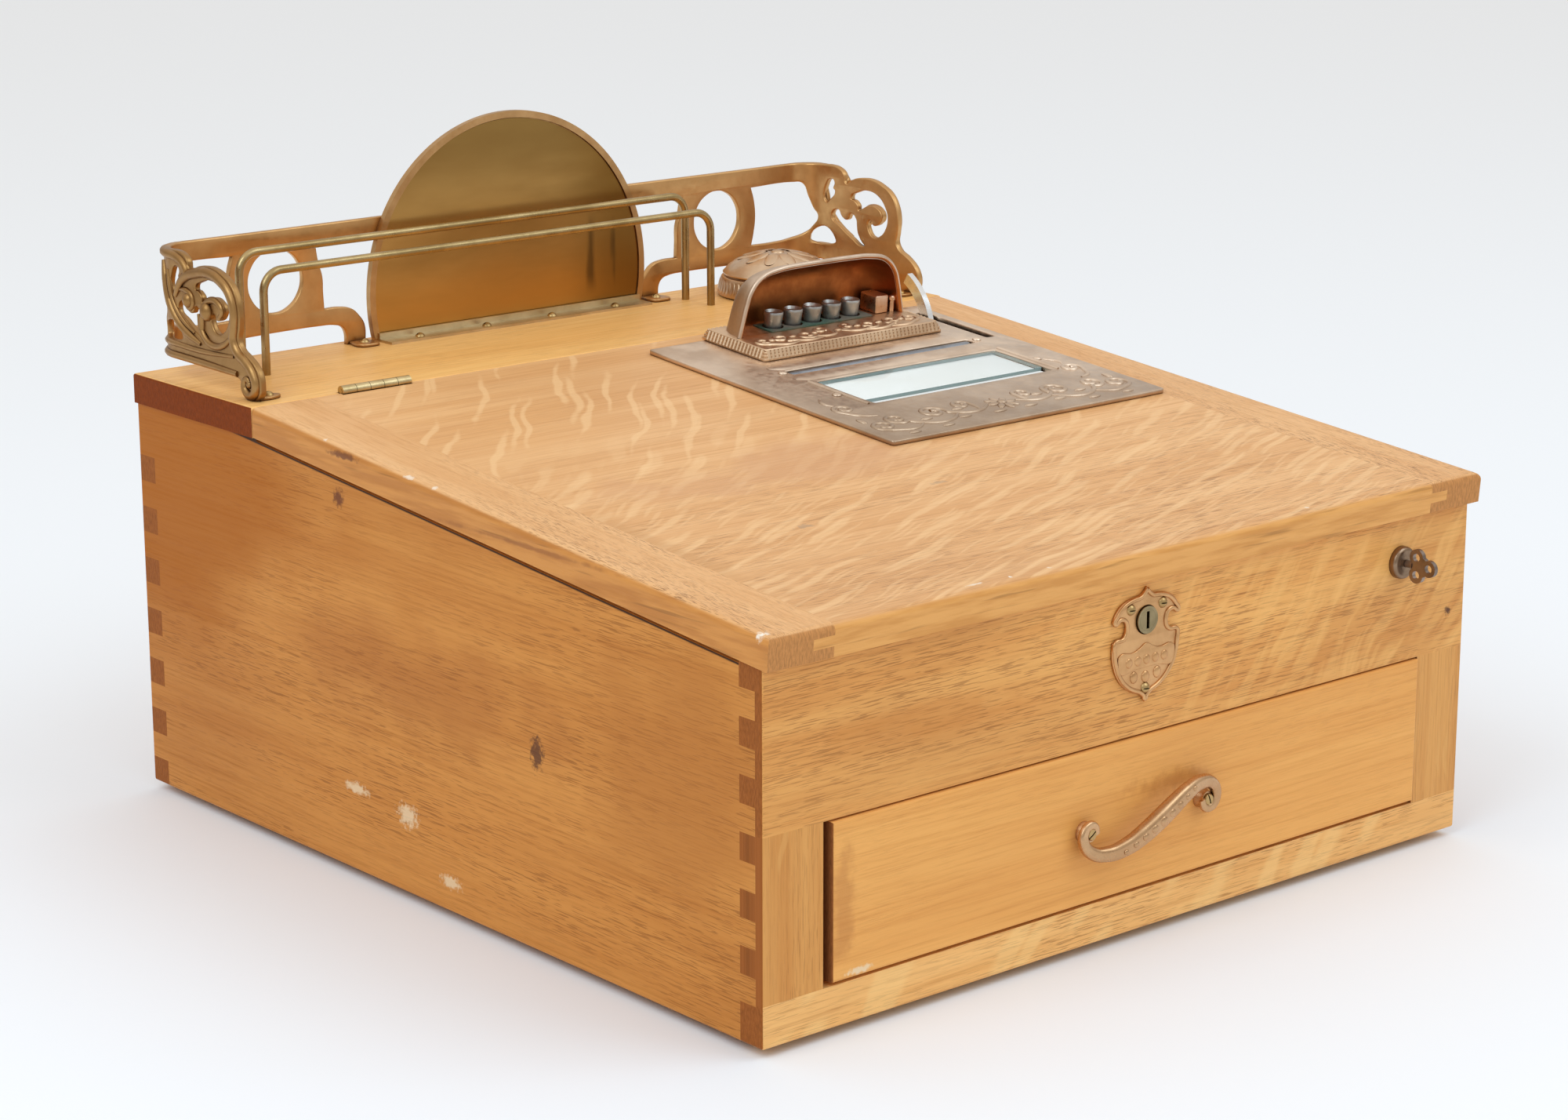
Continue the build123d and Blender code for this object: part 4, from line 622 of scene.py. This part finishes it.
lid_marks = [
    ((-0.068, -0.2625, 0.2095), (0.0022, 0.002, 0.002), chip, 0.8, 420.0),
    ((-0.095, -0.2625, 0.2100), (0.0016, 0.002, 0.002), chip, 0.8, 420.0),
    ((-0.118, -0.2620, 0.2105), (0.0090, 0.0014, 0.0014), chip, 0.6, 420.0),
    ((0.121, -0.2625, 0.2100), (0.0022, 0.0016, 0.002), chip, 0.6, 420.0),
    ((-0.130, -0.1500, 0.2200), (0.0100, 0.004, 0.01), (0.36, 0.26, 0.17), 0.5, 300.0),
    ((-0.020, -0.1300, 0.2220), (0.0090, 0.003, 0.01), (0.36, 0.26, 0.17), 0.45, 300.0),
    ((-0.060, -0.0700, 0.2280), (0.1700, 0.060, 0.02), (0.66, 0.33, 0.15), 0.6, 16.0),
    ((-0.214, -0.1500, 0.2200), (0.0160, 0.120, 0.03), (0.58, 0.285, 0.10), 0.5, 30.0),
]
lid_edge = ((0, -1, 0), (0.80, 0.395, 0.115), (0.66, 0.295, 0.072))
front_pores = ((0, -1, 0), -0.05, 0.22)
lid_oak = oak(
    "lid_oak", "X", lid_pale, lid_mid, lid_dark, finger_brown, lid_flakes, 0.6, 0.28, 14.0, lid_marks,
    edge=lid_edge, pore_run=front_pores,
)
dress(["lid_panel"], lid_oak)
cleat_marks = [
    ((-0.2545, 0.0960, 0.2415), (0.004, 0.0024, 0.0016), chip, 0.7, 420.0),
    ((-0.2535, 0.0190, 0.2345), (0.004, 0.0060, 0.0016), chip, 0.6, 420.0),
    ((-0.2535, -0.0030, 0.2330), (0.004, 0.0030, 0.0016), chip, 0.6, 420.0),
    ((-0.2555, 0.0780, 0.2360), (0.004, 0.0220, 0.0030), (0.20, 0.065, 0.02), 0.9, 220.0),
    ((-0.2520, -0.2620, 0.2090), (0.006, 0.0040, 0.0040), chip, 0.95, 420.0),
    ((-0.2555, -0.0800, 0.2180), (0.004, 0.1000, 0.0022), (0.34, 0.12, 0.03), 0.7, 60.0),
]
cleat_edge = ((-1, 0, 0), (0.65, 0.275, 0.064), (0.52, 0.20, 0.042))
cleat_oak = oak(
    "cleat_oak", "Y", lid_pale, lid_mid, lid_dark, (0.61, 0.275, 0.092), (), 0.8, 0.18, 16.0, cleat_marks,
    edge=cleat_edge, pore_run=((0, -1, 0), -0.10, 0.18),
)
dress(["lid_left_cleat", "lid_right_cleat"], cleat_oak)
hinge_brass = metal("hinge_brass", (0.66, 0.51, 0.27), (0.48, 0.35, 0.16), 0.36, (0.12, 0.075, 0.03), 0.002, shift=48.0)
dress(["hinge_case_leaves", "hinge_lid_leaves", "hinge_pins"], hinge_brass)

# Register plate: a bronze casting screwed to the lid over the well, pierced for the window, the ticket slot, the lever
# and the keys, with a low moulding each side of the slot and running scrollwork in low relief along its front.
lid_slope = math.atan(37.0 / 428.0)
hinge_height = 0.247563
lid_frame = Matrix.Translation((0, hinge_line, hinge_height)) @ Matrix.Rotation(lid_slope, 4, "X")


def rounded(x0, x1, s0, s1, radius):
    corners = ((x0, -s0, 1, -1), (x1, -s0, -1, -1), (x1, -s1, -1, 1), (x0, -s1, 1, 1))
    loop = []
    for turn, (x, y, into_x, into_y) in enumerate(corners):
        along_x, along_y = (x + into_x * radius, y), (x, y + into_y * radius)
        middle = (x + into_x * radius * 0.29, y + into_y * radius * 0.29)
        loop += [along_y, middle, along_x] if turn % 2 == 0 else [along_x, middle, along_y]
    return loop


def mirrored(path, x):
    return [(2 * x - knot[0], *knot[1:]) for knot in path]


key_row = -36
key_places = [116 + 15.2 * (k - 2) for k in range(5)]
key_holes = [curl(x, key_row, 6.4, 6.4, 0, 330, 12) for x in key_places]
window_hole, ticket_slot = rounded(46, 186, 122, 172, 1.5), rounded(44, 188, 96, 104, 1.5)
lever_slot = rounded(202.4, 209.6, 34.6, 98.6, 1.5)
plate_edge = rounded(4, 216, 20.5, 234.5, 2.2)
register = [cast_plate([plate_edge, window_hole, ticket_slot, lever_slot, *key_holes], 3.0, 0.8, 1.5)]
for s in (88.0, 112.0):
    register.append(rib([(38, -s, 0.3), (44, -s), (116, -s), (188, -s), (194, -s, 0.3)], 6.8, 2.9, 0.13))
for x, s in ((39.5, 100), (192.5, 100), (37, 150), (194.5, 150)):
    register.append(knob(x, -s, 3.0, (2.8, 2.8, 1.5)))
for x in (41.5, 190.5):
    register.append(rib([(x, -121), (x, -140), (x, -158), (x, -172, 0.6)], 1.6, 3.0, 0.7))
vine_half = [
    [(121, -208, 0.6), (130, -213), (141, -213), (150, -207), *curl(158, -203, 9, 2.4, 200, -470)],
    [(146, -211, 0.6), (158, -219), (171, -219), (181, -211), *curl(186, -203, 8, 2, 235, 450)],
    [(176, -216, 0.5), (188, -222), (200, -219), *curl(200.5, -210, 8, 2.2, -70, 430)],
    [(190, -192, 0.5), (198, -189), (203, -181), *curl(199, -174, 6.5, 1.6, -10, 430)],
    [(130, -213, 0.5), (128, -205), *curl(134, -200, 6.5, 1.6, 200, -430)],
    [(199, -168, 0.4), (202, -160), (198, -152, 0.5)],
]
leaf_half = [
    (141, -205, 4.4, 2.0), (147, -218, 4.8, 2.0), (170, -211, 4.4, 1.9), (167, -226, 4.6, 1.8), (193, -227, 4.4, 1.8),
    (206, -197, 2.2, 4.4), (122, -220, 5.0, 1.8),
]
for path in vine_half:
    register += [rib(way, 1.5, 2.9, 0.7) for way in (path, mirrored(path, 110))]
for x, y, long_side, short_side in leaf_half:
    register += [knob(side, y, 2.9, (long_side, short_side, 1.1)) for side in (x, 220 - x)]
rosette = ring(8, (4.3, 2.2, 1.2), 6.2, 0, 0)
for leaf in rosette:
    leaf.data.transform(Matrix.Translation((0.110, -0.2085, 0.0029)))
register += [*rosette, knob(110, -208.5, 3.2, (2.9, 2.9, 1.7))]
plate_bronze = metal(
    "plate_bronze", (0.83, 0.655, 0.50), (0.67, 0.505, 0.37), 0.4, (0.24, 0.135, 0.07), 0.003, shift=52.0,
    fade=((-0.5, -1, 0), -0.13, 0.06, (0.63, 0.585, 0.53)),
)
fit("register_casting", weld(register), lid_frame, "lid", plate_bronze, ["register_plate"])

# Window: a pane of old glass let into the plate, which stops short of the front so that the paper close under it can
# be written on there. The paper comes up over a steel platen between the two rolls, past a steel bar to tear it on.
pane, tree, shader = new_finish("pane")
pane_normal = put(tree, "TexCoord").outputs["Normal"]
rim_share = ease(tree, calc(tree, "ABSOLUTE", dot(tree, pane_normal, lid_normal)), 0.9, 0.5)
clear = put(tree, "BsdfTransparent", {"Color": (0.985, 0.995, 0.99)})
ripple = grain_noise(tree, put(tree, "TexCoord").outputs["Object"], 30.0, (1, 1, 1), 2.0, 55.0)
wavy = put(tree, "Bump", {"Height": ripple, "Strength": 0.05, "Distance": 0.002})
shine = put(tree, "BsdfGlossy", {"Roughness": 0.03, "Normal": wavy.outputs[0]})
sheen = put(tree, "Fresnel", {"IOR": 1.45, "Normal": wavy.outputs[0]}).outputs[0]
leaving = put(tree, "NewGeometry").outputs["Backfacing"]
sheen = times(tree, sheen, calc(tree, "SUBTRACT", 0.8, times(tree, leaving, 0.8)))
face = put(tree, "MixShader", {0: sheen, 1: clear.outputs[0], 2: shine.outputs[0]})
shader.inputs["Base Color"].default_value = (0.24, 0.32, 0.31, 1.0)
tree.links.new(ease(tree, ripple, 0.3, 0.7, 0.12, 0.3), shader.inputs["Roughness"])
whole = put(tree, "MixShader", {0: rim_share, 1: face.outputs[0], 2: shader.outputs[0]})
tree.links.new(whole.outputs[0], tree.nodes["Material Output"].inputs["Surface"])
glass_sheet = cast_plate([rounded(46.3, 185.7, 122.3, 163.5, 0.8)], 2.2, 0.25, 1.4)
fit("window_pane", glass_sheet, lid_frame, "lid", pane, ["window_glass"])
till_paper, tree, shader = new_finish("till_paper")
place = put(tree, "TexCoord").outputs["Object"]
pulp = grain_noise(tree, place, 700.0, (1, 1, 1), 3.0, 57.0)
aged = grain_noise(tree, place, 18.0, (1, 1, 1), 3.0, 58.0)
tone = tint(tree, ease(tree, aged, 0.35, 0.75), (0.95, 0.94, 0.915), (0.88, 0.86, 0.81))
tree.links.new(tone, shader.inputs["Base Color"])
shader.inputs["Roughness"].default_value = 0.85
roughen(tree, shader, pulp, 0.1, 0.0002)
dress(["paper_strip", "takeup_roll", "supply_roll"], till_paper)
paper_sheet = cast_plate([rounded(46.8, 185.2, 119.5, 174.5, 0.5)], 0.4, 0.1)
fit("paper_under_glass", paper_sheet, lid_frame, "lid", till_paper, [])
dull_steel = metal("dull_steel", (0.42, 0.42, 0.41), (0.28, 0.27, 0.26), 0.42, shift=60.0)
dress(["writing_platen", "lid_lock_keeper", "drawer_lock_keeper"], dull_steel)
bar_path = [(45, -98.6, 0.7), (47, -98.6), (116, -98.6), (185, -98.6), (187, -98.6, 0.7)]
bar_steel = metal("bar_steel", (0.30, 0.31, 0.33), (0.19, 0.19, 0.20), 0.36, shift=61.0)
fit("tear_bar", rib(bar_path, 2.3, 1.3, 0.5), lid_frame, "lid", bar_steel, [])

# Key plinth: a bronze block on the plate with reeded sides and scrollwork before the hood. A bed of green felt, worn
# brown in places, lies on it round the keys.
left, right, rear, fore = 48.6, 183.4, 20.6, 73.4
plinth = [cast_plate([rounded(left, right, rear, fore, 1.0), *key_holes], 6.5, 0.9, 6.25)]
for level, grow in ((4.0, 2.6), (5.8, 1.9), (7.4, 1.2)):
    step_edge = rounded(left - grow, right + grow, rear - grow, fore + grow, 1.0)
    plinth.append(cast_plate([step_edge, rounded(52, 180, 26, 68, 1.0)], 2.0, 0.4, level))
reed_radius, reed_height, reed_level = 0.00158, 0.0054, 0.0064
reed_lean = math.radians(20)


def reed(x, s, out_x, out_y):
    bpy.ops.mesh.primitive_cylinder_add(vertices=10, radius=reed_radius, depth=reed_height)
    piece = bpy.context.active_object
    lean = Matrix.Rotation(reed_lean, 4, Vector((out_y, -out_x, 0)))
    piece.data.transform(Matrix.Translation((x / 1000, -s / 1000, reed_level)) @ lean)
    return piece


for step in range(45):
    x = 50 + 132 * step / 44
    plinth += [reed(x, 74.3, 0, -1), reed(x, 19.7, 0, 1)]
for step in range(17):
    s = 23 + 48 * step / 16
    plinth += [reed(47.7, s, -1, 0), reed(184.3, s, 1, 0)]
plinth_half = [
    [(117, -60, 0.5), (124, -66), (134, -66), *curl(140, -60, 6.5, 1.8, 230, 430)],
    [(132, -67, 0.5), (146, -69), (156, -65), *curl(160, -59, 6.2, 1.6, 250, -430)],
    [(152, -68, 0.5), (164, -70), (173, -66), *curl(173.5, -60, 5.5, 1.5, -70, 400)],
    [(124, -66, 0.5), (122, -58), *curl(126.5, -55.5, 4.2, 1.2, 200, -400)],
]
for path in plinth_half:
    plinth += [rib(way, 1.5, 9.4, 0.75) for way in (path, mirrored(path, 116))]
for x, y in ((116, -60), (133, -58), (150, -58), (167, -59), (99, -58), (82, -58), (65, -59)):
    plinth.append(knob(x, y, 9.4, (2.8, 2.1, 1.3)))
plinth_bronze = metal(
    "plinth_bronze", (0.79, 0.56, 0.36), (0.62, 0.41, 0.25), 0.4, (0.34, 0.20, 0.11), 0.0025, shift=54.0
)
fit("plinth_casting", weld(plinth), lid_frame, "lid", plinth_bronze, ["key_plinth"])
felt, tree, shader = new_finish("key_felt")
place = put(tree, "TexCoord").outputs["Object"]
nap = grain_noise(tree, place, 900.0, (1, 1, 1), 3.0, 62.0)
worn = grain_noise(tree, place, 60.0, (1, 1, 1), 3.0, 63.0)
cloth = tint(tree, ease(tree, nap, 0.3, 0.7), (0.040, 0.085, 0.055), (0.070, 0.128, 0.086))
tone = tint(tree, ease(tree, worn, 0.42, 0.62, 0.0, 0.8), cloth, (0.17, 0.13, 0.09))
tree.links.new(tone, shader.inputs["Base Color"])
shader.inputs["Roughness"].default_value = 0.95
shader.inputs["Sheen Weight"].default_value = 0.12
shader.inputs["Specular IOR Level"].default_value = 0.1
roughen(tree, shader, nap, 0.5, 0.0005)
felt_bed = cast_plate([rounded(77, 157, 27.5, 45.5, 1.0), *key_holes], 0.8, 0.2, 9.8)
fit("key_felt", felt_bed, lid_frame, "lid", felt, [])

# Finger keys: five turned steel thimbles with a dished crown, their upward faces and dish darkened as painted shade
# under the hood. Each is on a stem that slides down through the felt, the plinth and the plate.
key_profile = [
    (0, -13), (2.2, -13), (2.2, 3), (5.0, 3), (5.1, 11), (5.4, 14), (5.9, 17.6), (6.0, 18.8), (5.65, 19.4),
    (5.25, 19.5), (4.9, 19.1), (4.5, 17.9), (3.8, 17.4), (0, 17.2),
]
# painted shade: the hollow tone darkens the dish and the crown tone darkens the upward faces
key_steel = metal(
    "key_steel", (0.54, 0.525, 0.49), (0.35, 0.335, 0.31), 0.34, (0.12, 0.10, 0.09), 0.003, shift=65.0, bare=0.8,
    crown=(0.085, 0.052, 0.050),
)
for number, x in enumerate(key_places, start=1):
    key_place = lid_frame @ Matrix.Translation((x / 1000, key_row / 1000, 0))
    cap = turned(key_profile, 32)
    fit(f"key_cap_{number}", cap, key_place, f"finger_key_{number}", key_steel, [f"key_{number}"])

# Key hood: a drawn copper cover with a rolled rim, open to the front and falling away behind like a shell, brown with
# age outside and given a redder, darker tone on its inner faces. A small striker block and its pin sit inside at the
# right.
hood_arch = [
    (52, 9.4), (54, 18), (56.2, 27), (60, 37), (67.5, 44.2), (80, 47.4), (98, 48.3), (116, 48.4), (134, 48.3),
    (152, 47.4), (164.5, 44.2), (172, 37), (175.8, 27), (178, 18), (180, 9.4),
]
hood_front = -45.5
hood_heart = (0.116, hood_front / 1000, 0.0094)
hood_depth, drawn_in, drawn_down = 0.0225, 0.19, 0.42
hood_path = [(x, hood_front, h, 1, "AUTO") for x, h in hood_arch]
shell = as_mesh(new_line([hood_path], False, dimensions="3D", resolution_u=5))
bpy.ops.object.mode_set(mode="EDIT")
bpy.ops.mesh.select_all(action="SELECT")
gone_x, gone_h, gone_back = 1.0, 1.0, 0.0
for step in range(1, 10):
    turn = math.radians(10 * step)
    left_x, left_h = 1 - drawn_in * (1 - math.cos(turn)), 1 - drawn_down * (1 - math.cos(turn))
    back = hood_depth * math.sin(turn)
    bpy.ops.mesh.extrude_region_move(TRANSFORM_OT_translate={"value": (0, back - gone_back, 0)})
    bpy.ops.transform.resize(value=(left_x / gone_x, 1, left_h / gone_h), center_override=hood_heart)
    gone_x, gone_h, gone_back = left_x, left_h, back
bpy.ops.mesh.edge_face_add()
bpy.ops.object.mode_set(mode="OBJECT")
clean(shell, merge=False)
sheet = shell.modifiers.new("sheet", "SOLIDIFY")
sheet.thickness = 0.0018
sheet.offset = -1.0
bpy.ops.object.modifier_apply(modifier="sheet")
stood_up = Matrix.Rotation(math.radians(90), 4, "X")
hood_rim = rib(hood_arch, 1.5, 0.0)
hood_rim.data.transform(Matrix.Translation((0, hood_front / 1000, 0)) @ stood_up)
hood_copper, tree, shader = new_finish("hood_copper")
source = put(tree, "TexCoord")
place = source.outputs["Object"]
heart = lid_frame @ Vector((0.116, -0.040, 0.024))
outward = put(tree, "VectorMath", {0: place, 1: heart}, operation="SUBTRACT").outputs[0]
inside_share = ease(tree, dot(tree, outward, source.outputs["Normal"]), 0.002, -0.002)
cloud = grain_noise(tree, place, 40.0, (1, 1, 1), 4.0, 67.0, 0.6)
outer = tint(tree, ease(tree, cloud, 0.35, 0.68), (0.72, 0.55, 0.41), (0.56, 0.41, 0.29))
inner = tint(tree, ease(tree, cloud, 0.35, 0.68), (0.58, 0.21, 0.062), (0.38, 0.125, 0.035))
tree.links.new(tint(tree, inside_share, outer, inner), shader.inputs["Base Color"])
shader.inputs["Metallic"].default_value = 1.0
tree.links.new(ease(tree, cloud, 0.3, 0.7, 0.34, 0.5), shader.inputs["Roughness"])
hammered = grain_noise(tree, place, 260.0, (1, 1, 1), 2.0, 68.0)
roughen(tree, shader, hammered, 0.1, 0.0006)
fit("hood_shell", weld([shell, hood_rim]), lid_frame, "lid", hood_copper, ["key_hood"], 50)
striker = cast_plate([rounded(161.5, 171.5, 28, 43, 1.2)], 11.0, 0.9, 15.0)
pin = turned([(0, 0), (1.6, 0), (1.6, 7), (2.3, 7.4), (2.3, 9.2), (1.6, 10), (0, 10)], 20)
pin.data.transform(Matrix.Translation((0.1745, -0.0425, 0.0096)))
striker_copper = metal("striker_copper", (0.78, 0.52, 0.35), (0.60, 0.36, 0.22), 0.32, shift=70.0)
fit("striker_block", weld([striker, pin]), lid_frame, "lid", striker_copper, [])

# Feed lever: a bright nickelled steel strip that comes up through the slot beside the plinth. It swings on the
# mechanism under the plate.
nickel = metal("nickel", (0.86, 0.86, 0.85), (0.74, 0.73, 0.71), 0.22, bump=0.01, shift=72.0)
dress(["feed_lever"], nickel)

# Lid lock: a brass cylinder behind a stamped bronze shield, which has a raised rim, a banner of beads across it and
# three bosses below. Three round-headed screws hold it.
lock_brass = metal("lock_brass", (0.40, 0.31, 0.17), (0.26, 0.195, 0.10), 0.34, (0.05, 0.035, 0.02), 0.002, shift=74.0)
dress(["lid_lock_barrel", "lid_lock_plug"], lock_brass)
shield_half = [
    (0, 0, 1), (0.08, 0.035), (0.2, 0.066), (0.38, 0.075), (0.57, 0.09), (0.76, 0.125), (0.9, 0.18), (1, 0.254, 1),
    (0.84, 0.226), (0.69, 0.24), (0.62, 0.285), (0.61, 0.33), (0.65, 0.38), (0.75, 0.41), (0.98, 0.426, 1),
    (0.99, 0.53), (0.93, 0.65), (0.8, 0.755), (0.6, 0.84), (0.38, 0.895), (0.16, 0.93), (0.05, 0.965),
]
shield_half_width, shield_height = 24.5, 61
shield_edge = [(shield_half_width * across, -shield_height * down, *corner) for across, down, *corner in shield_half]
shield_edge += [(0, -shield_height, 1)] + [(-x, y, *corner) for x, y, *corner in reversed(shield_edge[1:])]
shield = [cast_plate([shield_edge, curl(0, -17.5, 7.35, 7.35, 0, 330, 12)], 1.6, 0.5)]
rim_path = [(x * 0.93, -29 + (y + 29) * 0.95, 1) for x, y, *corner in shield_edge]
shield.append(rib(rim_path + rim_path[:1], 1.25, 0.7, 0.9))
banner_edge = [
    (-19.8, -33.6), (-9, -33.2), (-5, -31.8), (0, -29.6), (5, -31.8), (9, -33.2), (19.8, -33.6), (20.4, -38),
    (19.2, -43), (9, -42.6), (0, -42.4), (-9, -42.6), (-19.2, -43), (-20.4, -38),
]
shield.append(cast_plate([banner_edge], 1.2, 0.4, 0.9))
shield += [knob(6.4 * step, -38.2, 1.5, (2.3, 2.6, 0.8)) for step in (-2, -1, 0, 1, 2)]
shield += [knob(8.5 * step, -47.6 + abs(step), 0.8, (2.7, 3.2, 1.1)) for step in (-1, 0, 1)]
shield_place = Matrix.Translation((0, -0.26365, 0.1895)) @ stood_up
shield_bronze = metal(
    "shield_bronze", (0.69, 0.39, 0.175), (0.55, 0.295, 0.125), 0.34, (0.36, 0.18, 0.075), 0.0016, shift=76.0
)
fit("escutcheon_shield", weld(shield), shield_place, "case", shield_bronze, ["escutcheon"])

# Drawer lock: a cylinder let into the rail, with a rounded bronze collar that has gone dark. Its trefoil steel key has
# been left in it.
key_iron = metal("key_iron", (0.34, 0.26, 0.21), (0.20, 0.15, 0.12), 0.36, (0.04, 0.03, 0.025), 0.002, shift=78.0)
dress(["drawer_key"], key_iron)
collar_bronze = metal(
    "collar_bronze", (0.34, 0.23, 0.15), (0.22, 0.14, 0.085), 0.34, (0.04, 0.03, 0.02), 0.002, shift=79.0
)
dress(["drawer_lock_barrel", "drawer_lock_plug"], collar_bronze)

# Drawer: a smooth oak front in orange varnish, its edges darker from handling. The box behind it is bare wood, with
# till dividers inside.
drawer_marks = [
    ((-0.205, -0.265, 0.070), (0.012, 0.02, 0.06), (0.50, 0.19, 0.045), 0.5, 60.0),
    # partly handling wear, partly painted shadow: a darker amber patch just above the pull
    ((0.020, -0.265, 0.082), (0.045, 0.02, 0.010), (0.56, 0.22, 0.05), 0.6, 90.0),
    ((-0.195, -0.265, 0.032), (0.012, 0.02, 0.003), (0.86, 0.66, 0.42), 0.9, 420.0),
]
drawer_oak = oak(
    "drawer_oak", "X", (0.88, 0.44, 0.122), (0.81, 0.375, 0.096), (0.56, 0.21, 0.042), (0.30, 0.10, 0.03),
    pores=0.14, cloud=0.3, shift=18.0, marks=drawer_marks,
)
dress(["drawer_front"], drawer_oak)
dress(["drawer_sides", "drawer_back", "drawer_bottom", "till_dividers"], bare_wood)

# Drawer pull: a cast bronze S whose ends curl round two slotted screws. It bows away from the drawer and carries a row
# of beads along its face.
pull_path = [
    (-38.6, -0.6, 5.6, 0.5), (-40.2, 3.4, 5.7, 0.6), (-44, 4.6, 5.8, 0.68), (-48, 1.6, 6, 0.76), (-48.2, -4, 6.4, 0.84),
    (-43.4, -9.6, 7.4, 0.94), (-34, -12, 9, 1.1), (-22, -10, 11, 1.3), (-10, -5, 12.2, 1.45), (0, 0, 12.5, 1.5),
]
pull_path += [(-x, -z, out, size) for x, z, out, size in reversed(pull_path[:-1])]
pull_edge = [(-3.4, -1.8), (-3.5, 0.4), (-2.6, 1.7), (0, 2.1), (2.6, 1.7), (3.5, 0.4), (3.4, -1.8), (0, -2.0)]
section_line = new_line([[(x, y, 0, 1, "AUTO") for x, y in pull_edge]], True, dimensions="2D")
section = bpy.data.objects.new("pull_section", section_line)
bpy.context.collection.objects.link(section)
bar_line = new_line(
    [[(*knot, "AUTO") for knot in pull_path]], False, dimensions="3D", twist_mode="Z_UP", bevel_mode="OBJECT",
    bevel_object=section, use_fill_caps=True, resolution_u=8,
)
pull_parts = [as_mesh(bar_line)]
bpy.data.objects.remove(section)
screw_x = 0.043
for x in (-screw_x, screw_x):
    post = turned([(0, 0), (5.6, 0), (5.4, 1.5), (4.6, 3), (4.4, 5.4), (0, 5.4)], 32)
    post.data.transform(Matrix.Translation((x, 0, 0)))
    pull_parts.append(post)
bead_sizes = ((15.5, 2.7), (15.3, 2.4), (14.9, 2.1), (14.1, 1.8), (13.1, 1.5))
for step in range(-4, 5):
    level, size = bead_sizes[abs(step)]
    pull_parts.append(knob(6.2 * step, 2.92 * step, level, (size, size, 1.0)))
pull_place = Matrix.Translation((0, -0.26485, 0.0685)) @ stood_up
pull_bronze = metal(
    "pull_bronze", (0.66, 0.415, 0.225), (0.53, 0.315, 0.16), 0.3, (0.24, 0.115, 0.05), 0.002, shift=80.0
)
fit("drawer_pull_bar", weld(pull_parts), pull_place, "drawer", pull_bronze, ["drawer_pull"])
screw_parts = []
for x, turn in ((-screw_x, 35), (screw_x, 110)):
    head = turned([(0, 4.6), (3.0, 4.6), (3.1, 6.4), (2.6, 6.9), (0, 7.1)], 32)
    bpy.ops.mesh.primitive_cube_add(size=1)
    slot_cut = bpy.context.active_object
    slot_cut.data.transform(Matrix.Translation((0, 0, 0.0072)) @ Matrix.Diagonal((0.0075, 0.0008, 0.0018, 1)))
    lone(head)
    sawn = head.modifiers.new("slot", "BOOLEAN")
    sawn.object = slot_cut
    sawn.solver = "EXACT"
    bpy.ops.object.modifier_apply(modifier="slot")
    bpy.data.objects.remove(slot_cut)
    head.data.transform(Matrix.Translation((x, 0, 0)) @ Matrix.Rotation(math.radians(turn), 4, "Z"))
    screw_parts.append(head)
fit("pull_screw_heads", weld(screw_parts), pull_place, "drawer", screw_brass, ["pull_screws"])
